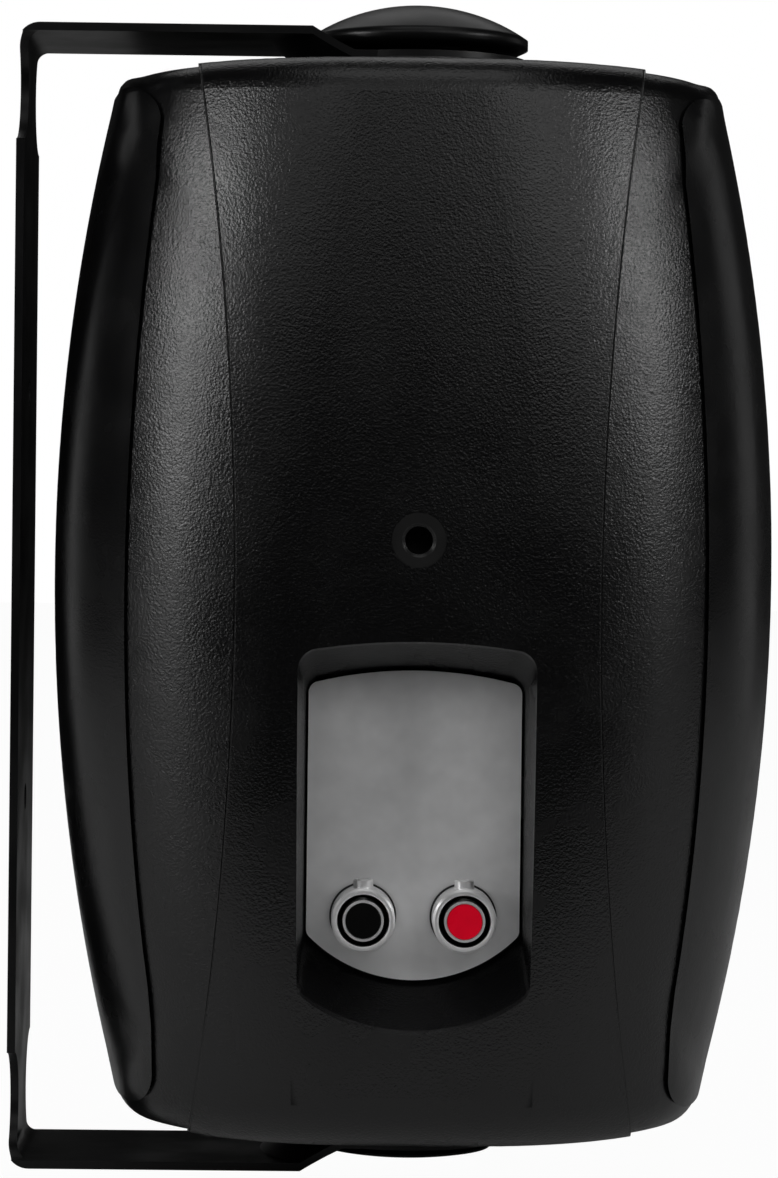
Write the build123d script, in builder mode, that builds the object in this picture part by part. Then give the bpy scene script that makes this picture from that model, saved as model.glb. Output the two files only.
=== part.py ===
from build123d import *
import os
from math import cos, radians, sin, sqrt

os.makedirs("parts", exist_ok=True)

# Outdoor patio speaker, millimetres. Rear faces +Y, front faces -Y, +Z is up.
# The origin is the middle of the wall plate's outer face, and the swivel axis stands PIVOT_REACH from it.

# Cabinet
BODY_WIDTH = 174
BODY_HEIGHT = 254
SIDE_RADIUS = 523
CROWN_RADIUS = 740
REAR_RADIUS = 900
REAR_REACH = 78
FRONT_REACH = 85
CHEEK_RADIUS = 60
TOP_EDGE_RADIUS = 10
BOTTOM_EDGE_RADIUS = 15
WALL = 3
RELIEF = 0.8
COLLAR_DEPTH = 14
COLLAR_ROUND = 2.5

# Raised rear band and cheek pads
BAND_HALF = 42
BAND_RADIUS = 784
PAD_HALF = 68
PAD_RADIUS = 757
PAD_HALF_HEIGHT = 118.5
PAD_CORNER = 8

# Bracket
PIVOT_REACH = 97
STRAP_WIDTH = 50
STRAP_THICKNESS = 2
BEND_RADIUS = 5.5
NECK_WIDTH = 24
NECK_ROUND = 13
NECK_DROP = 15
DISH_DROP = 5.6
DISH_INNER = 29.5
DISH_OUTER = 36
ARM_END_RADIUS = 27
WALL_HOLE_RADIUS = 3.3
WALL_HOLE_SPACING = 100

# Pivots
SEAT_RADIUS = 32
SEAT_HEIGHT = 3.6
SEAT_SLOPE = 2
SEAT_GAP = 0.2
INSERT_RADIUS = 7
INSERT_LENGTH = 15
STUD_RADIUS = 3.8
STUD_GRIP = 12
THREAD_CLEARANCE = 0.25
PIVOT_HOLE_CLEARANCE = 0.7
PIVOT_BOSS_WALL = 5
WASHER_RADIUS = 15
WASHER_THICKNESS = 1.4
KNOB_RADIUS = 26
KNOB_RIM = 3.4
KNOB_DOME = 8.4
KNOB_SKIRT = 2.5
RUNNING_GAP = 0.15

# Rear threaded insert
REAR_INSERT_Z = 15
REAR_INSERT_RADIUS = 6.3
REAR_INSERT_LENGTH = 12
REAR_INSERT_BORE = 3.2
REAR_INSERT_MOUTH = 3.95
REAR_BOSS_WALL = 3

# Terminal recess, from its floor out to a plane just past the rear of the cabinet
CUP_FLOOR_Y = 58
CUP_PAST_REAR = 2
CUP_WALL = 2.5
FLOOR_HALF = 25.3
FLOOR_TOP = -15.1
FLOOR_TOP_RISE = 3.3
FLOOR_BOTTOM = -88.2
FLOOR_BOTTOM_DROP = 10.7
FLOOR_CORNER = 4
MOUTH_HALF = 27.6
MOUTH_TOP = -7.5
MOUTH_TOP_RISE = 2.4
MOUTH_BOTTOM = -104.5
MOUTH_BOTTOM_DROP = 9.6
MOUTH_CORNER = 5
CUP_LIP_ROUND = 1

# Terminal plate and push terminals
PLATE_THICKNESS = 1.2
PLATE_CLEARANCE = 0.4
PLATE_CORNER = 2.5
TERMINAL_Z = -72.8
TERMINAL_SPACING = 23.4
SLEEVE_RADIUS = 7.4
SLEEVE_MOUTH = 5.9
SLEEVE_LENGTH = 11.4
SLEEVE_FLOOR = 1
BUSH_FLANGE = 1
BUSH_RADIUS = 7.8
BUSH_NECK = 3.5
BUSH_CLEARANCE = 0.15
TERMINAL_STUD = 2
TERMINAL_STUD_TAIL = 5
WIRE_HOLE = 1.7
BUTTON_RADIUS = 4.75
BUTTON_LENGTH = 7.6
BUTTON_PROUD = 0.5
BUTTON_SKIRT = 1.1
BUTTON_CROWN = 2.3
INLAY_RADIUS = 4.2
INLAY_THICKNESS = 1
SPRING_RADIUS = 3.2
SPRING_WIRE = 0.7
SPRING_TURNS = 6
LUG_RADIUS = 4.2
LUG_THICKNESS = 0.6
LUG_TAIL = 9
NUT_FLATS = 7
NUT_HEIGHT = 3.2

# Front baffle, gasket and grille
BAFFLE_Y = -74
BAFFLE_THICKNESS = 6
BAFFLE_CLEARANCE = 0.4
GASKET_THICKNESS = 1
LEDGE_WIDTH = 6
LEDGE_DEPTH = 4
SCREW_ROWS = (104, 12, -104)
SCREW_INSET = 5.5
SCREW_SHANK = 1.8
SCREW_HEAD = 3.6
SCREW_HEAD_HEIGHT = 2.2
SCREW_LENGTH = 16
SCREW_CLEARANCE = 0.15
SCREW_BOSS = 4.2
GRILLE_Y = -89
GRILLE_RADIUS = 600
GRILLE_SHEET = 1
GRILLE_CLEARANCE = 0.3
GRILLE_EDGE = 2

# Woofer, depths measured back from the baffle's front face
WOOFER_Z = -40
FLANGE_RADIUS = 66
FLANGE_INNER = 54
FLANGE_THICKNESS = 3
FLANGE_CLEARANCE = 0.3
BASKET_THROAT = 58.5
BASKET_WAIST = 44.5
BASKET_WAIST_DEPTH = 28
BASKET_CUP = 33
BASKET_DEPTH = 48
BASKET_GAUGE = 2.4
BASKET_WINDOWS = 6
WINDOW_WIDTH = 32
WINDOW_MARGIN = 3.5
WOOFER_SCREW_CIRCLE = 62.2
WOOFER_SCREWS = 4
WOOFER_SCREW_LENGTH = 12
SURROUND_OUTER = 58
SURROUND_ROLL_OUTER = 55
SURROUND_ROLL_INNER = 46.5
SURROUND_LIP = 43.5
SURROUND_GAUGE = 0.8
SURROUND_LIP_DEPTH = 3
TRIM_RING_INNER = 55.4
TRIM_RING_OUTER = 58.4
TRIM_RING_HEIGHT = 1.4
CONE_GAUGE = 0.9
CONE_DEPTH = 23
DUST_CAP_RADIUS = 19
DUST_CAP_RISE = 7
COIL_INNER = 13
COIL_GAUGE = 0.5
WINDING_GAUGE = 0.6
WINDING_LENGTH = 9
GAP_CLEARANCE = 0.6
TOP_PLATE_THICKNESS = 5
TOP_PLATE_RADIUS = 33
MAGNET_THICKNESS = 15
MAGNET_RADIUS = 37
MAGNET_BORE = 17
YOKE_THICKNESS = 5
YOKE_RADIUS = 34
SPIDER_LANDING = 42
SPIDER_WAVES = 4
SPIDER_WAVE_HEIGHT = 1.1
SPIDER_GAUGE = 0.6

# Tweeter
TWEETER_Z = 70
FACE_RADIUS = 33
FACE_THICKNESS = 3
FACE_BOSS = 23
FACE_DEPTH = 8
FACE_THROAT = 14.6
FACE_THROAT_DEPTH = 5
TWEETER_SCREW_CIRCLE = 28.5
TWEETER_SCREWS = 3
TWEETER_SCREW_LENGTH = 8
DOME_RADIUS = 12.9
DOME_RISE = 5
DOME_GAUGE = 0.4
DOME_SEAT_DEPTH = 6.6
SUSPENSION_OUTER = 16.6
TWEETER_COIL_LENGTH = 5
TWEETER_GAP = 0.55
TWEETER_PLATE_THICKNESS = 3
TWEETER_PLATE_RADIUS = 22
TWEETER_MAGNET_THICKNESS = 7
TWEETER_MAGNET_RADIUS = 22.6
TWEETER_MAGNET_BORE = 15.5
TWEETER_YOKE_THICKNESS = 3

# Crossover, on bosses inside the rear wall
BOARD_Z = 72
BOARD_WIDTH = 72
BOARD_HEIGHT = 56
BOARD_THICKNESS = 1.6
BOARD_FACE_Y = 58
BOARD_SCREW_MARGIN = 6
BOARD_BOSS = 3.6
BOARD_SCREW_LENGTH = 8
BOARD_SCREW_SHANK = 1.4
BOARD_SCREW_HEAD = 2.6
BOARD_SCREW_HEAD_HEIGHT = 1.8
INDUCTOR_RADIUS = 14
INDUCTOR_BORE = 6
INDUCTOR_HEIGHT = 13
INDUCTOR_X = -16
CAPACITOR_RADIUS = 6.5
CAPACITOR_LENGTH = 26
CAPACITOR_X = 15
CAPACITOR_PITCH = 17
RESISTOR_LENGTH = 30
RESISTOR_HEIGHT = 8
RESISTOR_DROP = 20

# Damping pad on one side wall
PAD_THICKNESS = 10
PAD_LENGTH = 100
PAD_DEPTH = 50
PAD_Y = -5
PAD_GAP = 0.1

SLACK = 20

pivot_x = -PIVOT_REACH
inner_inset = WALL + RELIEF
seat_z = BODY_HEIGHT / 2 + SEAT_HEIGHT
arm_end_z = seat_z + SEAT_GAP
arm_z = arm_end_z + DISH_DROP
bracket_half = arm_z + STRAP_THICKNESS
washer_z = arm_end_z + STRAP_THICKNESS + RUNNING_GAP
knob_z = washer_z + WASHER_THICKNESS + RUNNING_GAP
baffle_back = BAFFLE_Y + BAFFLE_THICKNESS
ledge_y = baffle_back + GASKET_THICKNESS
plate_face_y = CUP_FLOOR_Y + PLATE_THICKNESS
terminal_xs = (TERMINAL_SPACING / 2, -TERMINAL_SPACING / 2)


def plan(z):
    """Level plane at height z with its origin on the swivel axis."""
    return Plane(origin=(pivot_x, 0, z), x_dir=(1, 0, 0), z_dir=(0, 0, 1))


def front(y):
    """Upright plane across the cabinet at depth y, facing forward."""
    return Plane(origin=(pivot_x, y, 0), x_dir=(1, 0, 0), z_dir=(0, -1, 0))


def side(x=0, z=0):
    """Upright plane along the cabinet, with its origin x from the swivel axis at height z."""
    return Plane(origin=(pivot_x + x, 0, z), x_dir=(0, 1, 0), z_dir=(1, 0, 0))


def depth_axis(x, z):
    """Front-to-back axis through x, z."""
    return Axis((pivot_x + x, 0, z), (0, 1, 0))


def turn(profile, x=0, z=0, mode=Mode.ADD):
    """Revolve (depth, radius) points about a front-to-back axis."""
    with BuildSketch(side(x, z)) as section:
        with BuildLine():
            Polyline(*profile, close=True)
        make_face()
    revolve(section.sketch, axis=depth_axis(x, z), mode=mode)


def turn_upright(profile, mode=Mode.ADD):
    """Revolve (radius, height) points about the swivel axis."""
    with BuildSketch(front(0)) as section:
        with BuildLine():
            Polyline(*profile, close=True)
        make_face()
    revolve(section.sketch, axis=Axis((pivot_x, 0, 0), (0, 0, 1)), mode=mode)


def rod(radius, y_from, y_to, x=0, z=0, mode=Mode.ADD):
    """Round bar from one depth to another."""
    with BuildSketch(front(y_from)) as disc:
        with Locations((x, z)):
            Circle(radius)
    extrude(disc.sketch, amount=y_from - y_to, mode=mode)


def sagitta(radius, half):
    """Drop of an arc of this radius at half a chord from its middle."""
    return radius - sqrt(radius**2 - half**2)


def inner_half(z):
    """Half the width inside the cabinet at height z."""
    return BODY_WIDTH / 2 - sagitta(SIDE_RADIUS, z) - inner_inset


def rear_y(z):
    """Depth of the rear surface on the cabinet's centre line at height z."""
    return REAR_REACH - sagitta(REAR_RADIUS, z)


def outline(inset, y):
    """Barrel outline of the cabinet, drawn in by inset, with sharp corners."""
    with BuildSketch(front(y)) as shape:
        with Locations((BODY_WIDTH / 2 - SIDE_RADIUS, 0)):
            Circle(SIDE_RADIUS - inset)
        with Locations((SIDE_RADIUS - BODY_WIDTH / 2, 0)):
            Circle(SIDE_RADIUS - inset, mode=Mode.INTERSECT)
        with Locations((0, BODY_HEIGHT / 2 - CROWN_RADIUS)):
            Circle(CROWN_RADIUS - inset, mode=Mode.INTERSECT)
        with Locations((0, CROWN_RADIUS - BODY_HEIGHT / 2)):
            Circle(CROWN_RADIUS - inset, mode=Mode.INTERSECT)
    return shape


def section(inset, y):
    """Barrel outline with its four corners rounded."""
    with BuildSketch(front(y)) as shape:
        add(outline(inset, y).sketch_local)
        corners = shape.vertices().group_by(Axis.Y)
        fillet(corners[-1], TOP_EDGE_RADIUS - min(inset, TOP_EDGE_RADIUS / 2))
        fillet(shape.vertices().group_by(Axis.Y)[0], BOTTOM_EDGE_RADIUS - min(inset, BOTTOM_EDGE_RADIUS / 2))
    return shape.sketch


def barrel(inset, front_y):
    """Cabinet form, drawn in by inset: curved sides, crowned ends and a convex rear with round cheeks."""
    with BuildPart() as form:
        extrude(outline(inset, front_y).sketch, amount=front_y - REAR_REACH - SLACK)
        with BuildSketch(side()):
            with Locations((REAR_REACH - REAR_RADIUS, 0)):
                Circle(REAR_RADIUS - inset)
        extrude(amount=BODY_WIDTH, both=True, mode=Mode.INTERSECT)
        rear_edges = form.faces().sort_by(Axis.Y)[-1].edges()
        fillet(rear_edges.filter_by(lambda edge: edge.length > BODY_HEIGHT * 0.8), CHEEK_RADIUS - inset)
        for end, radius in ((-1, TOP_EDGE_RADIUS), (0, BOTTOM_EDGE_RADIUS)):
            rim = form.faces().sort_by(Axis.Z)[end].edges()
            fillet(rim.filter_by(lambda edge: edge.center().Y > front_y + 1), radius - inset)
    return form.part


def cup(half, top, top_rise, bottom, bottom_drop, corner, y):
    """Outline of the terminal recess: arched top, straight sides and a bowed bottom."""
    with BuildSketch(front(y)) as shape:
        with BuildLine():
            ThreePointArc((-half, top - top_rise), (0, top), (half, top - top_rise))
            Line((half, top - top_rise), (half, bottom + bottom_drop))
            ThreePointArc((half, bottom + bottom_drop), (0, bottom), (-half, bottom + bottom_drop))
            Line((-half, bottom + bottom_drop), (-half, top - top_rise))
        make_face()
        fillet(shape.vertices(), corner)
    return shape.sketch


def cup_floor(grow, y):
    """Recess outline at its floor, grown all round."""
    return cup(FLOOR_HALF + grow, FLOOR_TOP + grow, FLOOR_TOP_RISE, FLOOR_BOTTOM - grow,
               FLOOR_BOTTOM_DROP, FLOOR_CORNER + grow, y)


def cup_mouth(grow):
    """Recess outline just past the rear of the cabinet, grown all round."""
    return cup(MOUTH_HALF + grow, MOUTH_TOP + grow, MOUTH_TOP_RISE, MOUTH_BOTTOM - grow,
               MOUTH_BOTTOM_DROP, MOUTH_CORNER + grow, REAR_REACH + CUP_PAST_REAR)


def circle_points(count, radius, x, z, first=0):
    """Points spaced evenly round a circle."""
    angles = [radians(first + 360 * step / count) for step in range(count)]
    return [(x + radius * cos(angle), z + radius * sin(angle)) for angle in angles]


def screws(points, face_y, shank, head, head_height, length):
    """Pan-head screws driven back into the part from the face at face_y."""
    for x, z in points:
        turn([(face_y - head_height, 0), (face_y - head_height, head * 0.7), (face_y - head_height * 0.5, head),
              (face_y, head), (face_y, shank), (face_y + length - shank, shank), (face_y + length, 0)], x, z)


def screws_from_rear_board(points, face_y):
    """Small screws that hold the crossover board, driven back from its front."""
    screws(points, face_y, BOARD_SCREW_SHANK, BOARD_SCREW_HEAD, BOARD_SCREW_HEAD_HEIGHT, BOARD_SCREW_LENGTH)


baffle_points = [(hand * (inner_half(z) - SCREW_INSET), z) for z in SCREW_ROWS for hand in (-1, 1)]
woofer_points = circle_points(WOOFER_SCREWS, WOOFER_SCREW_CIRCLE, 0, WOOFER_Z, 45)
tweeter_points = circle_points(TWEETER_SCREWS, TWEETER_SCREW_CIRCLE, 0, TWEETER_Z, 90)
board_points = [(hand * (BOARD_WIDTH / 2 - BOARD_SCREW_MARGIN),
                 BOARD_Z + end * (BOARD_HEIGHT / 2 - BOARD_SCREW_MARGIN)) for hand in (-1, 1) for end in (-1, 1)]

# Rear shell: hollow barrel with a raised band and cheek pads, the terminal recess and the pivot seats
full_form = barrel(0, -FRONT_REACH)
core_form = barrel(RELIEF, -FRONT_REACH)
cavity_form = barrel(inner_inset, -FRONT_REACH - 1)
anchor_form = barrel(RELIEF + WALL / 2, -FRONT_REACH)

with BuildPart() as relief_zones:
    with BuildSketch(front(-FRONT_REACH)) as zones:
        Rectangle(BODY_WIDTH / 2 + BAND_HALF, BODY_HEIGHT + SLACK)
        with Locations((BAND_HALF + BAND_RADIUS, 0), (-BAND_HALF - BAND_RADIUS, 0)):
            Circle(BAND_RADIUS, mode=Mode.SUBTRACT)
    extrude(zones.sketch, amount=-FRONT_REACH - REAR_REACH - SLACK)
    with BuildSketch(front(-FRONT_REACH)) as pad_zone:
        with Locations((PAD_HALF + SLACK / 2, 0)):
            Rectangle(3 * SLACK, 2 * PAD_HALF_HEIGHT)
        with Locations((PAD_HALF - PAD_RADIUS, 0)):
            Circle(PAD_RADIUS, mode=Mode.SUBTRACT)
        fillet(pad_zone.vertices().group_by(Axis.X)[0], PAD_CORNER)
        mirror(about=Plane.YZ)
    extrude(pad_zone.sketch, amount=-FRONT_REACH - REAR_REACH - SLACK)
    with BuildSketch(front(-FRONT_REACH)) as collar_zone:
        Rectangle(BODY_WIDTH + SLACK, BODY_HEIGHT + SLACK)
    extrude(collar_zone.sketch, amount=-COLLAR_DEPTH)
    add(full_form, mode=Mode.INTERSECT)

with BuildPart() as inner_features:
    extrude(section(inner_inset - WALL / 2, ledge_y), amount=-LEDGE_DEPTH)
    extrude(section(inner_inset + LEDGE_WIDTH, ledge_y), amount=-LEDGE_DEPTH, mode=Mode.SUBTRACT)
    for x, z in baffle_points:
        rod(SCREW_BOSS, ledge_y, ledge_y + SCREW_LENGTH, x, z)
    for x, z in board_points:
        rod(BOARD_BOSS, BOARD_FACE_Y + BOARD_THICKNESS, REAR_REACH, x, z)
    rod(REAR_INSERT_RADIUS + REAR_BOSS_WALL, REAR_REACH - REAR_INSERT_LENGTH - WALL, REAR_REACH, 0, REAR_INSERT_Z)
    loft((cup_floor(CUP_WALL, CUP_FLOOR_Y - CUP_WALL).face(), cup_mouth(CUP_WALL).face()))
    for end in (1, -1):
        with BuildSketch(plan(end * (seat_z - INSERT_LENGTH - PIVOT_BOSS_WALL))) as boss:
            Circle(INSERT_RADIUS + PIVOT_BOSS_WALL)
        extrude(boss.sketch, amount=end * (INSERT_LENGTH + PIVOT_BOSS_WALL))
    add(anchor_form, mode=Mode.INTERSECT)

with BuildPart() as recess:
    loft((cup_floor(0, CUP_FLOOR_Y).face(), cup_mouth(0).face()))

with BuildPart() as rear_shell:
    add(core_form)
    add(relief_zones.part)
    fillet(rear_shell.faces().sort_by(Axis.Y)[0].outer_wire().edges(), COLLAR_ROUND)
    add(cavity_form, mode=Mode.SUBTRACT)
    add(inner_features.part)
    for end in (1, -1):
        turn_upright([(0, end * (BODY_HEIGHT / 2 - WALL)), (SEAT_RADIUS + SEAT_SLOPE, end * (BODY_HEIGHT / 2 - WALL)),
                      (SEAT_RADIUS, end * seat_z), (0, end * seat_z)])
        with BuildSketch(plan(end * seat_z)) as insert_hole:
            Circle(INSERT_RADIUS)
        extrude(insert_hole.sketch, amount=-end * INSERT_LENGTH, mode=Mode.SUBTRACT)
    add(recess.part, mode=Mode.SUBTRACT)
    for x in terminal_xs:
        rod(BUSH_NECK + BUSH_CLEARANCE, CUP_FLOOR_Y - 2 * CUP_WALL, CUP_FLOOR_Y, x, TERMINAL_Z, Mode.SUBTRACT)
    rod(REAR_INSERT_RADIUS, rear_y(REAR_INSERT_Z) - REAR_INSERT_LENGTH, REAR_REACH + SLACK, 0, REAR_INSERT_Z,
        Mode.SUBTRACT)
    for x, z in baffle_points:
        rod(SCREW_SHANK + SCREW_CLEARANCE, ledge_y - 1, ledge_y + SCREW_LENGTH - WALL, x, z, Mode.SUBTRACT)
    for x, z in board_points:
        rod(BOARD_SCREW_SHANK + SCREW_CLEARANCE, BOARD_FACE_Y, BOARD_FACE_Y + BOARD_SCREW_LENGTH + 1, x, z,
            Mode.SUBTRACT)

# Brass inserts moulded into the shell
with BuildPart() as rear_insert:
    insert_face = rear_y(REAR_INSERT_Z + REAR_INSERT_RADIUS)
    insert_floor = rear_y(REAR_INSERT_Z) - REAR_INSERT_LENGTH
    mouth_depth = REAR_INSERT_MOUTH - REAR_INSERT_BORE
    turn([(insert_floor, REAR_INSERT_BORE), (insert_floor, REAR_INSERT_RADIUS), (insert_face, REAR_INSERT_RADIUS),
          (insert_face, REAR_INSERT_MOUTH), (insert_face - mouth_depth, REAR_INSERT_BORE)], 0, REAR_INSERT_Z)


def pivot_insert(end):
    """Threaded insert in the top or bottom pivot seat."""
    with BuildPart() as insert:
        turn_upright([(STUD_RADIUS + THREAD_CLEARANCE, end * seat_z), (INSERT_RADIUS, end * seat_z),
                      (INSERT_RADIUS, end * (seat_z - INSERT_LENGTH)),
                      (STUD_RADIUS + THREAD_CLEARANCE, end * (seat_z - INSERT_LENGTH))])
    return insert


top_pivot_insert = pivot_insert(1)
bottom_pivot_insert = pivot_insert(-1)

# Bracket: one folded strap with necks beside its bends and a round dish at each arm's end
with BuildPart() as bracket:
    with BuildSketch(front(0)) as fold:
        with Locations((0, 0)):
            RectangleRounded(2 * PIVOT_REACH, 2 * bracket_half, BEND_RADIUS)
            RectangleRounded(2 * (PIVOT_REACH - STRAP_THICKNESS), 2 * arm_z, BEND_RADIUS - STRAP_THICKNESS,
                             mode=Mode.SUBTRACT)
        with Locations((DISH_OUTER - PIVOT_REACH, 0)):
            Rectangle(2 * PIVOT_REACH, 2 * bracket_half + SLACK, mode=Mode.SUBTRACT)
    extrude(amount=STRAP_WIDTH / 2, both=True)
    with BuildSketch(side()) as plate_outline:
        Rectangle(STRAP_WIDTH, 2 * bracket_half + SLACK)
        neck_y = NECK_WIDTH / 2 + NECK_ROUND
        neck_z = bracket_half - NECK_DROP
        with Locations((neck_y, neck_z), (-neck_y, neck_z), (neck_y, -neck_z), (-neck_y, -neck_z)):
            Circle(NECK_ROUND, mode=Mode.SUBTRACT)
    extrude(amount=PIVOT_REACH + SLACK, mode=Mode.INTERSECT)
    for end in (1, -1):
        turn_upright([(STUD_RADIUS + PIVOT_HOLE_CLEARANCE, end * arm_end_z), (DISH_INNER, end * arm_end_z),
                      (DISH_OUTER, end * arm_z), (PIVOT_REACH / 2, end * arm_z),
                      (PIVOT_REACH / 2, end * bracket_half), (DISH_OUTER, end * bracket_half),
                      (DISH_INNER, end * (arm_end_z + STRAP_THICKNESS)),
                      (STUD_RADIUS + PIVOT_HOLE_CLEARANCE, end * (arm_end_z + STRAP_THICKNESS))])
    with BuildSketch(plan(0)) as arm_outline:
        Circle(ARM_END_RADIUS)
        with Locations((PIVOT_REACH / 2, 0)):
            Rectangle(PIVOT_REACH, STRAP_WIDTH)
    extrude(amount=bracket_half, both=True, mode=Mode.INTERSECT)
    with BuildSketch(side(PIVOT_REACH)) as wall_holes:
        with Locations((0, WALL_HOLE_SPACING / 2), (0, -WALL_HOLE_SPACING / 2)):
            Circle(WALL_HOLE_RADIUS)
    extrude(amount=-2 * STRAP_THICKNESS, mode=Mode.SUBTRACT)

# Clamp knobs with their studs and washers


def knob(end):
    """Domed clamp knob with a thin rim, bored for its stud."""
    rim_top = knob_z + KNOB_RIM
    crown = rim_top + KNOB_DOME
    dome_radius = (KNOB_RADIUS**2 + KNOB_DOME**2) / (2 * KNOB_DOME)
    shoulder = crown - sagitta(dome_radius, KNOB_RADIUS / 2)
    with BuildPart() as cap:
        with BuildSketch(front(0)) as half_section:
            with BuildLine():
                Polyline((0, end * crown), (0, end * knob_z), (KNOB_RADIUS - KNOB_SKIRT, end * knob_z),
                         (KNOB_RADIUS, end * (knob_z + KNOB_SKIRT / 2)), (KNOB_RADIUS, end * rim_top))
                ThreePointArc((KNOB_RADIUS, end * rim_top), (KNOB_RADIUS / 2, end * shoulder), (0, end * crown))
            make_face()
        revolve(half_section.sketch, axis=Axis((pivot_x, 0, 0), (0, 0, 1)))
        turn_upright([(0, end * knob_z), (STUD_RADIUS, end * knob_z), (STUD_RADIUS, end * rim_top),
                      (0, end * rim_top)], Mode.SUBTRACT)
    return cap


def knob_stud(end):
    """Threaded stud that stands in the knob and runs down into the pivot insert."""
    tip = seat_z - STUD_GRIP
    with BuildPart() as stud:
        turn_upright([(0, end * (knob_z + KNOB_RIM)), (STUD_RADIUS, end * (knob_z + KNOB_RIM)),
                      (STUD_RADIUS, end * (tip + 1)), (STUD_RADIUS - 1, end * tip), (0, end * tip)])
    return stud


def knob_washer(end):
    """Flat washer between the knob and the bracket's arm."""
    with BuildPart() as washer:
        turn_upright([(STUD_RADIUS + THREAD_CLEARANCE, end * washer_z), (WASHER_RADIUS, end * washer_z),
                      (WASHER_RADIUS, end * (washer_z + WASHER_THICKNESS)),
                      (STUD_RADIUS + THREAD_CLEARANCE, end * (washer_z + WASHER_THICKNESS))])
    return washer


top_knob = knob(1)
bottom_knob = knob(-1)
top_knob_stud = knob_stud(1)
bottom_knob_stud = knob_stud(-1)
top_washer = knob_washer(1)
bottom_washer = knob_washer(-1)

# Terminal plate and the two push terminals
with BuildPart() as terminal_plate:
    extrude(cup(FLOOR_HALF - PLATE_CLEARANCE, FLOOR_TOP - PLATE_CLEARANCE, FLOOR_TOP_RISE,
                FLOOR_BOTTOM + PLATE_CLEARANCE, FLOOR_BOTTOM_DROP, PLATE_CORNER, CUP_FLOOR_Y),
            amount=-PLATE_THICKNESS)
    for x in terminal_xs:
        rod(BUSH_NECK + BUSH_CLEARANCE, CUP_FLOOR_Y - 1, plate_face_y + 1, x, TERMINAL_Z, Mode.SUBTRACT)

sleeve_back = plate_face_y + BUSH_FLANGE
sleeve_end = sleeve_back + SLEEVE_LENGTH
button_face = sleeve_end + BUTTON_PROUD
button_back = button_face - BUTTON_LENGTH
button_core = button_face - BUTTON_CROWN
spring_back = sleeve_back + SLEEVE_FLOOR + BUSH_CLEARANCE
cup_back = CUP_FLOOR_Y - CUP_WALL
nut_face = cup_back - LUG_THICKNESS


def terminal_bush(x):
    """Insulating bush through the plate and the recess floor."""
    bore = TERMINAL_STUD + BUSH_CLEARANCE
    with BuildPart() as bush:
        turn([(cup_back, bore), (cup_back, BUSH_NECK), (plate_face_y, BUSH_NECK), (plate_face_y, BUSH_RADIUS),
              (sleeve_back, BUSH_RADIUS), (sleeve_back, bore)], x, TERMINAL_Z)
    return bush


def terminal_sleeve(x):
    """Plated sleeve with its stud, open to the rear, with a wire hole in its upper side."""
    lip = (SLEEVE_RADIUS - SLEEVE_MOUTH) / 3
    tail = nut_face - NUT_HEIGHT - TERMINAL_STUD_TAIL
    with BuildPart() as sleeve:
        turn([(tail, 0), (tail, TERMINAL_STUD), (sleeve_back, TERMINAL_STUD), (sleeve_back, SLEEVE_RADIUS),
              (sleeve_end - lip, SLEEVE_RADIUS), (sleeve_end, SLEEVE_RADIUS - lip), (sleeve_end, SLEEVE_MOUTH + lip),
              (sleeve_end - lip, SLEEVE_MOUTH), (sleeve_back + SLEEVE_FLOOR, SLEEVE_MOUTH),
              (sleeve_back + SLEEVE_FLOOR, 0)], x, TERMINAL_Z)
        with BuildSketch(plan(TERMINAL_Z)) as wire_hole:
            with Locations((x, sleeve_back + SLEEVE_LENGTH / 2)):
                Circle(WIRE_HOLE)
        extrude(wire_hole.sketch, amount=2 * SLEEVE_RADIUS, mode=Mode.SUBTRACT)
    return sleeve


def terminal_button(x):
    """Spring cap that slides in the sleeve, with a seat for its coloured inlay."""
    with BuildPart() as button:
        turn([(button_back, BUTTON_RADIUS - BUTTON_SKIRT), (button_back, BUTTON_RADIUS), (button_face, BUTTON_RADIUS),
              (button_face, INLAY_RADIUS), (button_face - INLAY_THICKNESS, INLAY_RADIUS),
              (button_face - INLAY_THICKNESS, 0), (button_core, 0), (button_core, BUTTON_RADIUS - BUTTON_SKIRT)],
             x, TERMINAL_Z)
    return button


def terminal_inlay(x):
    """Coloured disc in the cap."""
    inlay_face = button_face - INLAY_THICKNESS / 5
    with BuildPart() as inlay:
        rod(INLAY_RADIUS - BUSH_CLEARANCE, button_face - INLAY_THICKNESS, inlay_face, x, TERMINAL_Z)
    return inlay


def terminal_spring(x):
    """Coil spring between the sleeve's floor and the cap, drawn as a row of close rings."""
    pitch = (button_core - BUSH_CLEARANCE - spring_back) / SPRING_TURNS
    crests = [(spring_back + pitch * (turn_number + share), SPRING_RADIUS - drop)
              for turn_number in range(SPRING_TURNS) for share, drop in ((0, SPRING_WIRE / 2), (0.5, 0))]
    crests.append((button_core - BUSH_CLEARANCE, SPRING_RADIUS - SPRING_WIRE / 2))
    bore = [(depth, radius - SPRING_WIRE) for depth, radius in reversed(crests)]
    with BuildPart() as spring:
        turn(crests + bore, x, TERMINAL_Z)
    return spring


black_x, red_x = terminal_xs
terminal_bush_black = terminal_bush(black_x)
terminal_bush_red = terminal_bush(red_x)
terminal_sleeve_black = terminal_sleeve(black_x)
terminal_sleeve_red = terminal_sleeve(red_x)
terminal_button_black = terminal_button(black_x)
terminal_button_red = terminal_button(red_x)
terminal_inlay_black = terminal_inlay(black_x)
terminal_inlay_red = terminal_inlay(red_x)
terminal_spring_black = terminal_spring(black_x)
terminal_spring_red = terminal_spring(red_x)

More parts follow.
